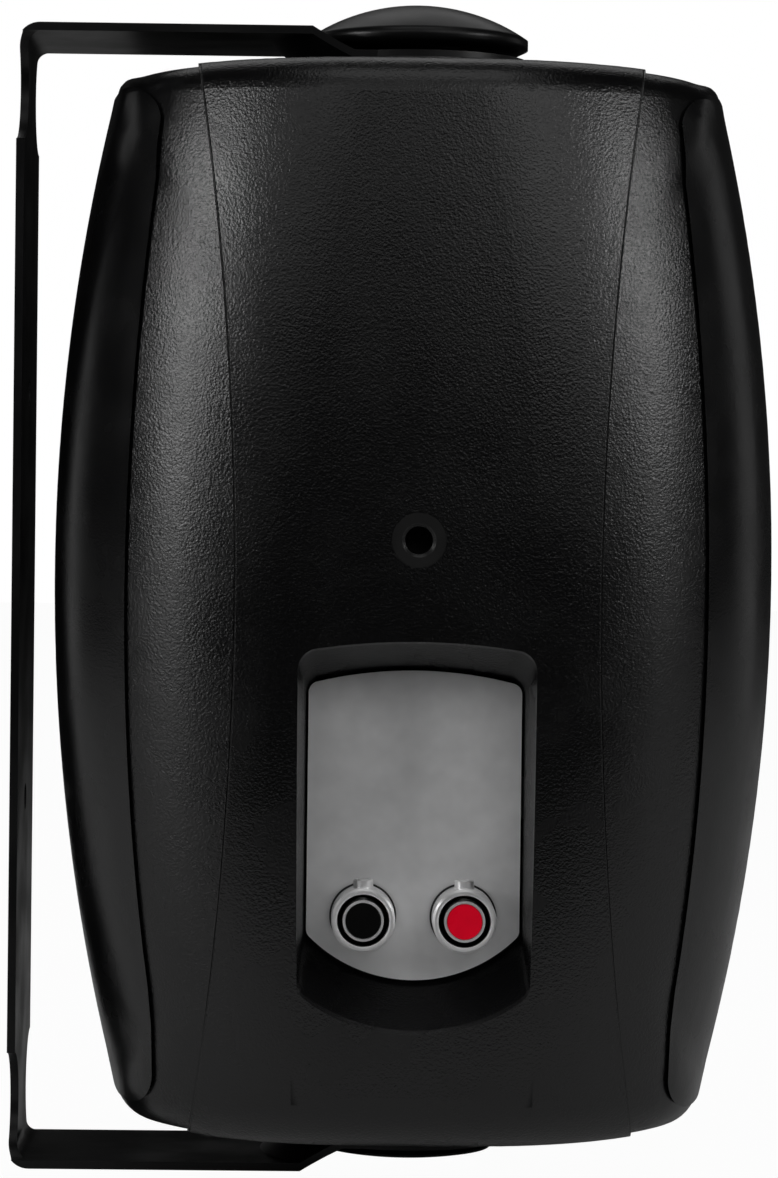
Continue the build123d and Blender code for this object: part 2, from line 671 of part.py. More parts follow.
with BuildPart() as terminal_lugs:
    for x in terminal_xs:
        with BuildSketch(front(cup_back)) as lug:
            with Locations((x, TERMINAL_Z)):
                Circle(LUG_RADIUS)
            with Locations((x, TERMINAL_Z + LUG_TAIL / 2)):
                Rectangle(LUG_RADIUS, LUG_TAIL)
            with Locations((x, TERMINAL_Z)):
                Circle(TERMINAL_STUD + BUSH_CLEARANCE, mode=Mode.SUBTRACT)
        extrude(lug.sketch, amount=LUG_THICKNESS)

with BuildPart() as terminal_nuts:
    for x in terminal_xs:
        with BuildSketch(front(nut_face)) as hexagon:
            with Locations((x, TERMINAL_Z)):
                RegularPolygon(NUT_FLATS / 2, 6, major_radius=False)
                Circle(TERMINAL_STUD + BUSH_CLEARANCE, mode=Mode.SUBTRACT)
        extrude(hexagon.sketch, amount=NUT_HEIGHT)

# Front baffle with rebates for both drivers
woofer_rebate = BAFFLE_Y + FLANGE_THICKNESS
tweeter_rebate = BAFFLE_Y + FACE_THICKNESS
with BuildPart() as front_baffle:
    extrude(section(inner_inset + BAFFLE_CLEARANCE, BAFFLE_Y), amount=-BAFFLE_THICKNESS)
    for x, z in woofer_points:
        rod(SCREW_BOSS - FLANGE_CLEARANCE, baffle_back, woofer_rebate + WOOFER_SCREW_LENGTH, x, z)
    rod(FLANGE_RADIUS + FLANGE_CLEARANCE, BAFFLE_Y - 1, woofer_rebate, 0, WOOFER_Z, Mode.SUBTRACT)
    rod(BASKET_THROAT + FLANGE_CLEARANCE, BAFFLE_Y, baffle_back + WOOFER_SCREW_LENGTH, 0, WOOFER_Z, Mode.SUBTRACT)
    rod(FACE_RADIUS + FLANGE_CLEARANCE, BAFFLE_Y - 1, tweeter_rebate, 0, TWEETER_Z, Mode.SUBTRACT)
    rod(FACE_BOSS + FLANGE_CLEARANCE, BAFFLE_Y, baffle_back + 1, 0, TWEETER_Z, Mode.SUBTRACT)
    for x, z in woofer_points:
        rod(SCREW_SHANK + SCREW_CLEARANCE, BAFFLE_Y, woofer_rebate + WOOFER_SCREW_LENGTH, x, z, Mode.SUBTRACT)
    for x, z in tweeter_points:
        rod(SCREW_SHANK + SCREW_CLEARANCE, BAFFLE_Y, baffle_back + WOOFER_SCREW_LENGTH, x, z, Mode.SUBTRACT)
    for x, z in baffle_points:
        rod(SCREW_SHANK + SCREW_CLEARANCE, BAFFLE_Y - 1, baffle_back + 1, x, z, Mode.SUBTRACT)

with BuildPart() as baffle_gasket:
    extrude(section(inner_inset + BAFFLE_CLEARANCE, baffle_back), amount=-GASKET_THICKNESS)
    extrude(section(inner_inset + LEDGE_WIDTH, baffle_back), amount=-GASKET_THICKNESS, mode=Mode.SUBTRACT)
    for x, z in baffle_points:
        rod(SCREW_SHANK + SCREW_CLEARANCE, baffle_back, ledge_y, x, z, Mode.SUBTRACT)

with BuildPart() as baffle_screws:
    screws(baffle_points, BAFFLE_Y, SCREW_SHANK, SCREW_HEAD, SCREW_HEAD_HEIGHT, SCREW_LENGTH)


def grille_form(inset):
    """Solid under the grille's curved face, drawn in by inset."""
    sheet_inset = inner_inset + GRILLE_CLEARANCE + inset
    with BuildPart() as form:
        extrude(section(sheet_inset, BAFFLE_Y), amount=BAFFLE_Y - GRILLE_Y + SLACK)
        with BuildSketch(plan(0)) as bow:
            with Locations((0, GRILLE_Y + GRILLE_RADIUS)):
                Circle(GRILLE_RADIUS - inset)
        extrude(bow.sketch, amount=BODY_HEIGHT, both=True, mode=Mode.INTERSECT)
        fillet(form.faces().sort_by(Axis.Y)[0].edges(), GRILLE_EDGE - inset)
    return form.part


grille_outside = grille_form(0)
grille_inside = grille_form(GRILLE_SHEET)
with BuildPart() as grille:
    add(grille_outside)
    add(grille_inside, mode=Mode.SUBTRACT)


def woofer_turn(profile, mode=Mode.ADD):
    """Revolve (depth behind the baffle's face, radius) points about the woofer's axis."""
    turn([(BAFFLE_Y + depth, radius) for depth, radius in profile], 0, WOOFER_Z, mode)


# Woofer chassis
waist_back = BASKET_WAIST_DEPTH + BASKET_GAUGE
spider_face = BASKET_WAIST_DEPTH
with BuildPart() as woofer_basket:
    woofer_turn([(0, FLANGE_INNER), (0, FLANGE_RADIUS), (FLANGE_THICKNESS, FLANGE_RADIUS),
                 (FLANGE_THICKNESS, BASKET_THROAT), (BASKET_WAIST_DEPTH, BASKET_WAIST), (waist_back, BASKET_WAIST),
                 (waist_back, BASKET_CUP + BASKET_GAUGE), (BASKET_DEPTH, BASKET_CUP),
                 (BASKET_DEPTH, MAGNET_BORE), (BASKET_DEPTH - BASKET_GAUGE, MAGNET_BORE),
                 (BASKET_DEPTH - BASKET_GAUGE, BASKET_CUP - BASKET_GAUGE),
                 (spider_face, BASKET_CUP), (spider_face, BASKET_WAIST - BASKET_GAUGE),
                 (FLANGE_THICKNESS, BASKET_THROAT - BASKET_GAUGE), (FLANGE_THICKNESS, FLANGE_INNER)])
    window_from = BAFFLE_Y + FLANGE_THICKNESS + WINDOW_MARGIN
    window_to = BAFFLE_Y + BASKET_WAIST_DEPTH - WINDOW_MARGIN
    for x, z in circle_points(BASKET_WINDOWS, FLANGE_RADIUS, 0, WOOFER_Z, 90):
        angle = Vector(x, z - WOOFER_Z, 0).get_signed_angle(Vector(1, 0, 0))
        with BuildSketch(front(window_from)) as window:
            with Locations(Location((x, z, 0), (0, 0, -angle))):
                Rectangle(2 * (FLANGE_RADIUS - BASKET_CUP), WINDOW_WIDTH)
        extrude(window.sketch, amount=window_from - window_to, mode=Mode.SUBTRACT)
    for x, z in woofer_points:
        rod(SCREW_SHANK + SCREW_CLEARANCE, BAFFLE_Y - 1, woofer_rebate + 1, x, z, Mode.SUBTRACT)

with BuildPart() as woofer_screws:
    screws(woofer_points, BAFFLE_Y, SCREW_SHANK, SCREW_HEAD, SCREW_HEAD_HEIGHT,
           FLANGE_THICKNESS + WOOFER_SCREW_LENGTH - WALL)

# Woofer motor, stacked behind the chassis
plate_back = BASKET_DEPTH + TOP_PLATE_THICKNESS
magnet_back = plate_back + MAGNET_THICKNESS
winding_outer = COIL_INNER + COIL_GAUGE + WINDING_GAUGE
with BuildPart() as woofer_top_plate:
    woofer_turn([(BASKET_DEPTH, winding_outer + GAP_CLEARANCE), (BASKET_DEPTH, TOP_PLATE_RADIUS),
                 (plate_back, TOP_PLATE_RADIUS), (plate_back, winding_outer + GAP_CLEARANCE)])
with BuildPart() as woofer_magnet:
    woofer_turn([(plate_back, MAGNET_BORE), (plate_back, MAGNET_RADIUS - 1), (plate_back + 1, MAGNET_RADIUS),
                 (magnet_back - 1, MAGNET_RADIUS), (magnet_back, MAGNET_RADIUS - 1), (magnet_back, MAGNET_BORE)])
with BuildPart() as woofer_yoke:
    woofer_turn([(BASKET_DEPTH, 0), (BASKET_DEPTH, COIL_INNER - GAP_CLEARANCE),
                 (magnet_back, COIL_INNER - GAP_CLEARANCE), (magnet_back, YOKE_RADIUS),
                 (magnet_back + YOKE_THICKNESS, YOKE_RADIUS - 1), (magnet_back + YOKE_THICKNESS, 0)])

# Woofer moving system
cone_back = SURROUND_LIP_DEPTH + CONE_DEPTH
neck = COIL_INNER + COIL_GAUGE + SCREW_CLEARANCE
cone_slope = (CONE_DEPTH - CONE_GAUGE) / (SURROUND_LIP - neck)
cap_seat = SURROUND_LIP_DEPTH + cone_slope * (SURROUND_LIP - DUST_CAP_RADIUS)
with BuildPart() as woofer_cone:
    woofer_turn([(SURROUND_LIP_DEPTH, SURROUND_ROLL_INNER), (SURROUND_LIP_DEPTH, SURROUND_LIP),
                 (cone_back - CONE_GAUGE, neck), (cone_back + CONE_GAUGE, neck),
                 (SURROUND_LIP_DEPTH + CONE_GAUGE, SURROUND_LIP + CONE_GAUGE),
                 (SURROUND_LIP_DEPTH + CONE_GAUGE, SURROUND_ROLL_INNER)])
with BuildPart() as woofer_surround:
    roll_middle = (SURROUND_ROLL_OUTER + SURROUND_ROLL_INNER) / 2
    roll_radius = (SURROUND_ROLL_OUTER - SURROUND_ROLL_INNER) / 2
    with BuildSketch(side(0, WOOFER_Z)) as roll:
        with BuildLine():
            Polyline((BAFFLE_Y, SURROUND_ROLL_OUTER - SURROUND_GAUGE), (BAFFLE_Y, SURROUND_OUTER),
                     (BAFFLE_Y - SURROUND_GAUGE, SURROUND_OUTER), (BAFFLE_Y - SURROUND_GAUGE, SURROUND_ROLL_OUTER))
            ThreePointArc((BAFFLE_Y - SURROUND_GAUGE, SURROUND_ROLL_OUTER),
                          (BAFFLE_Y - SURROUND_GAUGE - roll_radius, roll_middle),
                          (BAFFLE_Y - SURROUND_GAUGE, SURROUND_ROLL_INNER))
            Polyline((BAFFLE_Y - SURROUND_GAUGE, SURROUND_ROLL_INNER),
                     (BAFFLE_Y + SURROUND_LIP_DEPTH - SURROUND_GAUGE, SURROUND_ROLL_INNER),
                     (BAFFLE_Y + SURROUND_LIP_DEPTH - SURROUND_GAUGE, SURROUND_LIP),
                     (BAFFLE_Y + SURROUND_LIP_DEPTH, SURROUND_LIP),
                     (BAFFLE_Y + SURROUND_LIP_DEPTH, SURROUND_ROLL_INNER + SURROUND_GAUGE),
                     (BAFFLE_Y, SURROUND_ROLL_INNER + SURROUND_GAUGE))
            ThreePointArc((BAFFLE_Y, SURROUND_ROLL_INNER + SURROUND_GAUGE),
                          (BAFFLE_Y - roll_radius + SURROUND_GAUGE, roll_middle),
                          (BAFFLE_Y, SURROUND_ROLL_OUTER - SURROUND_GAUGE))
        make_face()
    revolve(roll.sketch, axis=depth_axis(0, WOOFER_Z))
with BuildPart() as woofer_trim_ring:
    trim_face = -SURROUND_GAUGE - TRIM_RING_HEIGHT
    woofer_turn([(-SURROUND_GAUGE, TRIM_RING_INNER), (-SURROUND_GAUGE, TRIM_RING_OUTER),
                 (trim_face + 0.4, TRIM_RING_OUTER), (trim_face, TRIM_RING_OUTER - 0.4),
                 (trim_face, TRIM_RING_INNER)])
with BuildPart() as woofer_dust_cap:
    cap_radius = (DUST_CAP_RADIUS**2 + DUST_CAP_RISE**2) / (2 * DUST_CAP_RISE)
    cap_rise_middle = DUST_CAP_RISE - sagitta(cap_radius, DUST_CAP_RADIUS / 2)
    cap_y = BAFFLE_Y + cap_seat - BUSH_CLEARANCE
    with BuildSketch(side(0, WOOFER_Z)) as cap_section:
        with BuildLine():
            ThreePointArc((cap_y, DUST_CAP_RADIUS), (cap_y - cap_rise_middle, DUST_CAP_RADIUS / 2),
                          (cap_y - DUST_CAP_RISE, 0))
            Line((cap_y - DUST_CAP_RISE, 0), (cap_y - DUST_CAP_RISE + CONE_GAUGE, 0))
            ThreePointArc((cap_y - DUST_CAP_RISE + CONE_GAUGE, 0),
                          (cap_y - cap_rise_middle + CONE_GAUGE, DUST_CAP_RADIUS / 2 - CONE_GAUGE / 2),
                          (cap_y, DUST_CAP_RADIUS - CONE_GAUGE))
            Line((cap_y, DUST_CAP_RADIUS - CONE_GAUGE), (cap_y, DUST_CAP_RADIUS))
        make_face()
    revolve(cap_section.sketch, axis=depth_axis(0, WOOFER_Z))
with BuildPart() as woofer_voice_coil:
    former_outer = COIL_INNER + COIL_GAUGE
    winding_middle = BASKET_DEPTH + TOP_PLATE_THICKNESS / 2
    winding_from = winding_middle - WINDING_LENGTH / 2
    winding_to = winding_middle + WINDING_LENGTH / 2
    woofer_turn([(cone_back - 2 * CONE_GAUGE, COIL_INNER), (cone_back - 2 * CONE_GAUGE, former_outer),
                 (winding_from, former_outer), (winding_from, winding_outer), (winding_to, winding_outer),
                 (winding_to, COIL_INNER)])
with BuildPart() as woofer_spider:
    spider_outer = spider_face - SCREW_CLEARANCE
    wave = (BASKET_CUP - neck) / (2 * SPIDER_WAVES)
    crests = [(spider_outer - SPIDER_WAVE_HEIGHT * (step % 2), neck + wave * step)
              for step in range(2 * SPIDER_WAVES + 1)]
    crests.append((spider_outer, SPIDER_LANDING - SCREW_CLEARANCE))
    woofer_turn(crests + [(depth - SPIDER_GAUGE, radius) for depth, radius in reversed(crests)])

# Tweeter
throat_back = FACE_DEPTH
with BuildPart() as tweeter_faceplate:
    turn([(BAFFLE_Y + depth, radius) for depth, radius in (
        (0, FACE_BOSS), (0, FACE_RADIUS), (FACE_THICKNESS, FACE_RADIUS), (FACE_THICKNESS, FACE_BOSS),
        (FACE_DEPTH, FACE_BOSS), (FACE_DEPTH, SUSPENSION_OUTER), (DOME_SEAT_DEPTH - 1, SUSPENSION_OUTER),
        (FACE_THROAT_DEPTH, FACE_THROAT))], 0, TWEETER_Z)
    for x, z in tweeter_points:
        rod(SCREW_SHANK + SCREW_CLEARANCE, BAFFLE_Y - 1, tweeter_rebate + 1, x, z, Mode.SUBTRACT)
with BuildPart() as tweeter_screws:
    screws(tweeter_points, BAFFLE_Y, SCREW_SHANK, SCREW_HEAD, SCREW_HEAD_HEIGHT, TWEETER_SCREW_LENGTH)
with BuildPart() as tweeter_dome:
    dome_curve = (DOME_RADIUS**2 + DOME_RISE**2) / (2 * DOME_RISE)
    dome_middle = DOME_RISE - sagitta(dome_curve, DOME_RADIUS / 2)
    dome_y = BAFFLE_Y + DOME_SEAT_DEPTH
    with BuildSketch(side(0, TWEETER_Z)) as dome_section:
        with BuildLine():
            ThreePointArc((dome_y, DOME_RADIUS), (dome_y - dome_middle, DOME_RADIUS / 2), (dome_y - DOME_RISE, 0))
            Line((dome_y - DOME_RISE, 0), (dome_y - DOME_RISE + DOME_GAUGE, 0))
            ThreePointArc((dome_y - DOME_RISE + DOME_GAUGE, 0),
                          (dome_y - dome_middle + DOME_GAUGE, DOME_RADIUS / 2 - DOME_GAUGE / 4),
                          (dome_y, DOME_RADIUS - DOME_GAUGE))
            Line((dome_y, DOME_RADIUS - DOME_GAUGE), (dome_y, DOME_RADIUS))
        make_face()
    revolve(dome_section.sketch, axis=depth_axis(0, TWEETER_Z))
with BuildPart() as tweeter_voice_coil:
    turn([(BAFFLE_Y + DOME_SEAT_DEPTH, DOME_RADIUS - DOME_GAUGE), (BAFFLE_Y + DOME_SEAT_DEPTH, DOME_RADIUS),
          (BAFFLE_Y + DOME_SEAT_DEPTH + TWEETER_COIL_LENGTH, DOME_RADIUS),
          (BAFFLE_Y + DOME_SEAT_DEPTH + TWEETER_COIL_LENGTH, DOME_RADIUS - DOME_GAUGE)], 0, TWEETER_Z)
with BuildPart() as tweeter_suspension:
    turn([(BAFFLE_Y + DOME_SEAT_DEPTH, DOME_RADIUS + SCREW_CLEARANCE),
          (BAFFLE_Y + DOME_SEAT_DEPTH, SUSPENSION_OUTER - SCREW_CLEARANCE),
          (BAFFLE_Y + DOME_SEAT_DEPTH + DOME_GAUGE, SUSPENSION_OUTER - SCREW_CLEARANCE),
          (BAFFLE_Y + DOME_SEAT_DEPTH + DOME_GAUGE, DOME_RADIUS + SCREW_CLEARANCE)], 0, TWEETER_Z)
tweeter_plate_y = BAFFLE_Y + FACE_DEPTH
tweeter_magnet_y = tweeter_plate_y + TWEETER_PLATE_THICKNESS
tweeter_yoke_y = tweeter_magnet_y + TWEETER_MAGNET_THICKNESS
with BuildPart() as tweeter_top_plate:
    turn([(tweeter_plate_y, DOME_RADIUS + TWEETER_GAP), (tweeter_plate_y, TWEETER_PLATE_RADIUS),
          (tweeter_magnet_y, TWEETER_PLATE_RADIUS), (tweeter_magnet_y, DOME_RADIUS + TWEETER_GAP)], 0, TWEETER_Z)
with BuildPart() as tweeter_magnet:
    turn([(tweeter_magnet_y, TWEETER_MAGNET_BORE), (tweeter_magnet_y, TWEETER_MAGNET_RADIUS),
          (tweeter_yoke_y, TWEETER_MAGNET_RADIUS), (tweeter_yoke_y, TWEETER_MAGNET_BORE)], 0, TWEETER_Z)
with BuildPart() as tweeter_yoke:
    pole = DOME_RADIUS - DOME_GAUGE - TWEETER_GAP
    turn([(tweeter_plate_y, 0), (tweeter_plate_y, pole), (tweeter_yoke_y, pole), (tweeter_yoke_y, TWEETER_PLATE_RADIUS),
          (tweeter_yoke_y + TWEETER_YOKE_THICKNESS, TWEETER_PLATE_RADIUS),
          (tweeter_yoke_y + TWEETER_YOKE_THICKNESS, 0)], 0, TWEETER_Z)

# Crossover on its board
board_back = BOARD_FACE_Y + BOARD_THICKNESS
with BuildPart() as crossover_board:
    with BuildSketch(front(BOARD_FACE_Y)) as board:
        with Locations((0, BOARD_Z)):
            RectangleRounded(BOARD_WIDTH, BOARD_HEIGHT, 2)
    extrude(board.sketch, amount=-BOARD_THICKNESS)
    for x, z in board_points:
        rod(BOARD_SCREW_SHANK + SCREW_CLEARANCE, BOARD_FACE_Y - 1, board_back + 1, x, z, Mode.SUBTRACT)
with BuildPart() as crossover_screws:
    screws_from_rear_board(board_points, BOARD_FACE_Y)
with BuildPart() as crossover_inductor:
    coil_y = BOARD_FACE_Y - INDUCTOR_HEIGHT
    turn([(coil_y, INDUCTOR_BORE), (coil_y, INDUCTOR_RADIUS + 2), (coil_y + 1.5, INDUCTOR_RADIUS + 2),
          (coil_y + 1.5, INDUCTOR_RADIUS), (BOARD_FACE_Y - 1.5, INDUCTOR_RADIUS),
          (BOARD_FACE_Y - 1.5, INDUCTOR_RADIUS + 2), (BOARD_FACE_Y, INDUCTOR_RADIUS + 2),
          (BOARD_FACE_Y, INDUCTOR_BORE)], INDUCTOR_X, BOARD_Z)
with BuildPart() as crossover_capacitors:
    for step in (0.5, -0.5):
        with BuildSketch(side(CAPACITOR_X - CAPACITOR_LENGTH / 2)) as can:
            with Locations((BOARD_FACE_Y - CAPACITOR_RADIUS, BOARD_Z + step * CAPACITOR_PITCH)):
                Circle(CAPACITOR_RADIUS)
        extrude(can.sketch, amount=CAPACITOR_LENGTH)
with BuildPart() as crossover_resistor:
    with BuildSketch(front(BOARD_FACE_Y)) as block:
        with Locations((0, BOARD_Z - RESISTOR_DROP)):
            Rectangle(RESISTOR_LENGTH, RESISTOR_HEIGHT)
    extrude(block.sketch, amount=RESISTOR_HEIGHT)

# Damping pad against the side wall
with BuildPart() as damping_pad:
    with BuildSketch(front(PAD_Y - PAD_DEPTH / 2)) as pad_shape:
        with Locations((BODY_WIDTH / 2 - SIDE_RADIUS, 0)):
            Circle(SIDE_RADIUS - inner_inset - PAD_GAP)
            Circle(SIDE_RADIUS - inner_inset - PAD_GAP - PAD_THICKNESS, mode=Mode.SUBTRACT)
        with Locations((BODY_WIDTH / 2, 0)):
            Rectangle(BODY_WIDTH, PAD_LENGTH, mode=Mode.INTERSECT)
    extrude(pad_shape.sketch, amount=-PAD_DEPTH)

nodes = {
    "rear_shell": rear_shell,
    "rear_insert": rear_insert,
    "top_pivot_insert": top_pivot_insert,
    "bottom_pivot_insert": bottom_pivot_insert,
    "bracket": bracket,
    "top_knob": top_knob,
    "bottom_knob": bottom_knob,
    "top_knob_stud": top_knob_stud,
    "bottom_knob_stud": bottom_knob_stud,
    "top_washer": top_washer,
    "bottom_washer": bottom_washer,
    "terminal_plate": terminal_plate,
    "terminal_bush_black": terminal_bush_black,
    "terminal_bush_red": terminal_bush_red,
    "terminal_sleeve_black": terminal_sleeve_black,
    "terminal_sleeve_red": terminal_sleeve_red,
    "terminal_button_black": terminal_button_black,
    "terminal_button_red": terminal_button_red,
    "terminal_inlay_black": terminal_inlay_black,
    "terminal_inlay_red": terminal_inlay_red,
    "terminal_spring_black": terminal_spring_black,
    "terminal_spring_red": terminal_spring_red,
    "terminal_lugs": terminal_lugs,
    "terminal_nuts": terminal_nuts,
    "front_baffle": front_baffle,
    "baffle_gasket": baffle_gasket,
    "baffle_screws": baffle_screws,
    "grille": grille,
    "woofer_basket": woofer_basket,
    "woofer_screws": woofer_screws,
    "woofer_top_plate": woofer_top_plate,
    "woofer_magnet": woofer_magnet,
    "woofer_yoke": woofer_yoke,
    "woofer_cone": woofer_cone,
    "woofer_surround": woofer_surround,
    "woofer_trim_ring": woofer_trim_ring,
    "woofer_dust_cap": woofer_dust_cap,
    "woofer_voice_coil": woofer_voice_coil,
    "woofer_spider": woofer_spider,
    "tweeter_faceplate": tweeter_faceplate,
    "tweeter_screws": tweeter_screws,
    "tweeter_dome": tweeter_dome,
    "tweeter_voice_coil": tweeter_voice_coil,
    "tweeter_suspension": tweeter_suspension,
    "tweeter_top_plate": tweeter_top_plate,
    "tweeter_magnet": tweeter_magnet,
    "tweeter_yoke": tweeter_yoke,
    "crossover_board": crossover_board,
    "crossover_screws": crossover_screws,
    "crossover_inductor": crossover_inductor,
    "crossover_capacitors": crossover_capacitors,
    "crossover_resistor": crossover_resistor,
    "damping_pad": damping_pad,
}
for node_name, node in nodes.items():
    node.part.label = node_name
    export_step(node.part, f"parts/{node_name}.step")
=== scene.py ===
"""Looks of an outdoor patio speaker: its finishes, perforated grille, screws, springs, threads and studio.

The rear of the cabinet faces +Y and the camera, the grille faces -Y, and +Z is up. All lengths are in metres.
"""

import logging
import math
from bisect import bisect
from dataclasses import dataclass, field
from enum import Enum
from functools import cache
from typing import Any, Sequence

import bmesh
import bpy
from mathutils import Matrix, Vector, noise


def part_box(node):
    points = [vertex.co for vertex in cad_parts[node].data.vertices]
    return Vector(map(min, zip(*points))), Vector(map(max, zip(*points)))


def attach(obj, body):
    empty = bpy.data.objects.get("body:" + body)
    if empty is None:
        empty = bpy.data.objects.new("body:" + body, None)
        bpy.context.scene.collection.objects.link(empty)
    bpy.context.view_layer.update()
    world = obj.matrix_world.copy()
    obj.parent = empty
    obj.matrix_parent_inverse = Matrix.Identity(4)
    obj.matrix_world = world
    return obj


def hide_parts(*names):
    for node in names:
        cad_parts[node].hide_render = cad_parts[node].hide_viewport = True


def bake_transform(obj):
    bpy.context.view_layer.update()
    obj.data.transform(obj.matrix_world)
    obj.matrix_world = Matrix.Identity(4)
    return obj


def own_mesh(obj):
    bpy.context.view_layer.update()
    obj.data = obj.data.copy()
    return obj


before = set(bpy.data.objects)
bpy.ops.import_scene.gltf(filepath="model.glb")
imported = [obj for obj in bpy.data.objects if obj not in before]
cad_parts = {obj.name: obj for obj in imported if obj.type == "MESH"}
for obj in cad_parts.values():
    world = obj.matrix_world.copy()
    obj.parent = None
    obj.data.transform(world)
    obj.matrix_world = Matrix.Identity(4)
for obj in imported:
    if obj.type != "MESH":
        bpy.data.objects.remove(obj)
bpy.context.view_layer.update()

log = logging.getLogger("patio_speaker")
MM = 0.001
SWIVEL_X = -97 * MM
Colour = tuple[float, float, float]
Socket = bpy.types.NodeSocket


class Tree:
    """A node tree under construction."""

    def __init__(self, tree: bpy.types.NodeTree) -> None:
        """Hold the tree's nodes and links."""
        self.nodes, self.links = tree.nodes, tree.links

    def add(self, kind: str, inputs: dict[str | int, Any], **settings: Any) -> bpy.types.Node:
        """Add a node and set or link its inputs.

        Args:
            kind: The node's type name.
            inputs: Values or output sockets, by input name or index.
            settings: The node's own properties.

        Returns:
            The new node.
        """
        node = self.nodes.new(kind)
        for name, value in settings.items():
            setattr(node, name, value)
        for key, value in inputs.items():
            if isinstance(value, Socket):
                self.links.new(value, node.inputs[key])
            else:
                node.inputs[key].default_value = value
        return node

    def math(self, operation: str, first: Any, second: Any = 0.0) -> Socket:
        """Return the result of a math node."""
        return self.add("ShaderNodeMath", {0: first, 1: second}, operation=operation).outputs[0]


class Surface(Tree):
    """One material's node tree, with short calls for the nodes that the finishes share."""

    def __init__(self, name: str) -> None:
        """Start an empty material of that name, with its principled shader."""
        self.material = bpy.data.materials.new(name)
        self.material.use_nodes = True
        super().__init__(self.material.node_tree)
        self.shader = self.nodes["Principled BSDF"]
        self.place = self.nodes.new("ShaderNodeTexCoord").outputs["Object"]

    def set(self, **values: Any) -> None:
        """Set the shader's own sockets, named with underscores for spaces."""
        for name, value in values.items():
            self.shader.inputs[name.replace("_", " ")].default_value = value

    def feed(self, socket: str, source: Socket) -> None:
        """Link a node's output to one of the shader's sockets."""
        self.links.new(source, self.shader.inputs[socket])

    def parts(self) -> bpy.types.bpy_prop_collection:
        """Return the X, Y and Z of the object coordinates."""
        return self.add("ShaderNodeSeparateXYZ", {0: self.place}).outputs

    def gap(self, first: Any, second: Any) -> Socket:
        """Return how far apart two values are."""
        return self.math("ABSOLUTE", self.math("SUBTRACT", first, second))

    def fallen(self, along: Socket, radius: float) -> Socket:
        """Return how far an arc of that radius has fallen back at a distance from its crown."""
        return self.math("DIVIDE", self.math("MULTIPLY", along, along), 2 * radius)

    def stretched(self, scale: Sequence[float]) -> Socket:
        """Return the object coordinates, scaled along each axis."""
        return self.add("ShaderNodeMapping", {"Vector": self.place, "Scale": scale}).outputs[0]

    def noise(self, size: float, detail: float = 2.0, place: Any = None) -> Socket:
        """Return cloudy noise with features of about that size."""
        inputs = {"Vector": place or self.place, "Scale": 1 / size, "Detail": detail}
        return self.add("ShaderNodeTexNoise", inputs).outputs[0]

    def pebbles(self, size: float) -> Socket:
        """Return the distance inside rounded cells of about that size."""
        inputs = {"Vector": self.place, "Scale": 1 / size}
        return self.add("ShaderNodeTexVoronoi", inputs, feature="SMOOTH_F1").outputs["Distance"]

    def between(self, factor: Any, span: tuple[float, float], low: float, high: float) -> Socket:
        """Return a value that goes from low to high as the factor crosses the span."""
        inputs = {0: factor, 1: span[0], 2: span[1], 3: low, 4: high}
        return self.add("ShaderNodeMapRange", inputs, interpolation_type="SMOOTHSTEP").outputs[0]

    def blend(self, factor: Any, first: Colour, second: Colour) -> Socket:
        """Return a colour between two, by the factor."""
        node = self.add("ShaderNodeMix", {0: factor}, data_type="RGBA")
        node.inputs["A"].default_value = (*first, 1)
        node.inputs["B"].default_value = (*second, 1)
        return node.outputs["Result"]

    def bump(self, height: Any, depth: float) -> None:
        """Feed a height to the shader's normal, as relief of that depth."""
        node = self.add("ShaderNodeBump", {"Height": height, "Distance": depth, "Strength": 1.0})
        self.feed("Normal", node.outputs[0])


def shade(colour: Colour, share: float) -> Colour:
    """Return the colour, lightened or darkened by that share."""
    return tuple(min(1.0, channel * (1 + share)) for channel in colour)


class Grain(Enum):
    """How a surface breaks up when seen close."""

    LEATHER = "leather"
    ORANGE_PEEL = "orange peel"
    FIBRE = "fibre"
    TURNED = "turned"


CLOUD_SPAN = (0.3, 0.7)
PORE_SHARE = 0.6
STRANDS = (1.0, 1.0, 0.15)
STRAND_DETAIL = 6.0
LATHE_MARKS = (0.04, 1.0, 0.04)


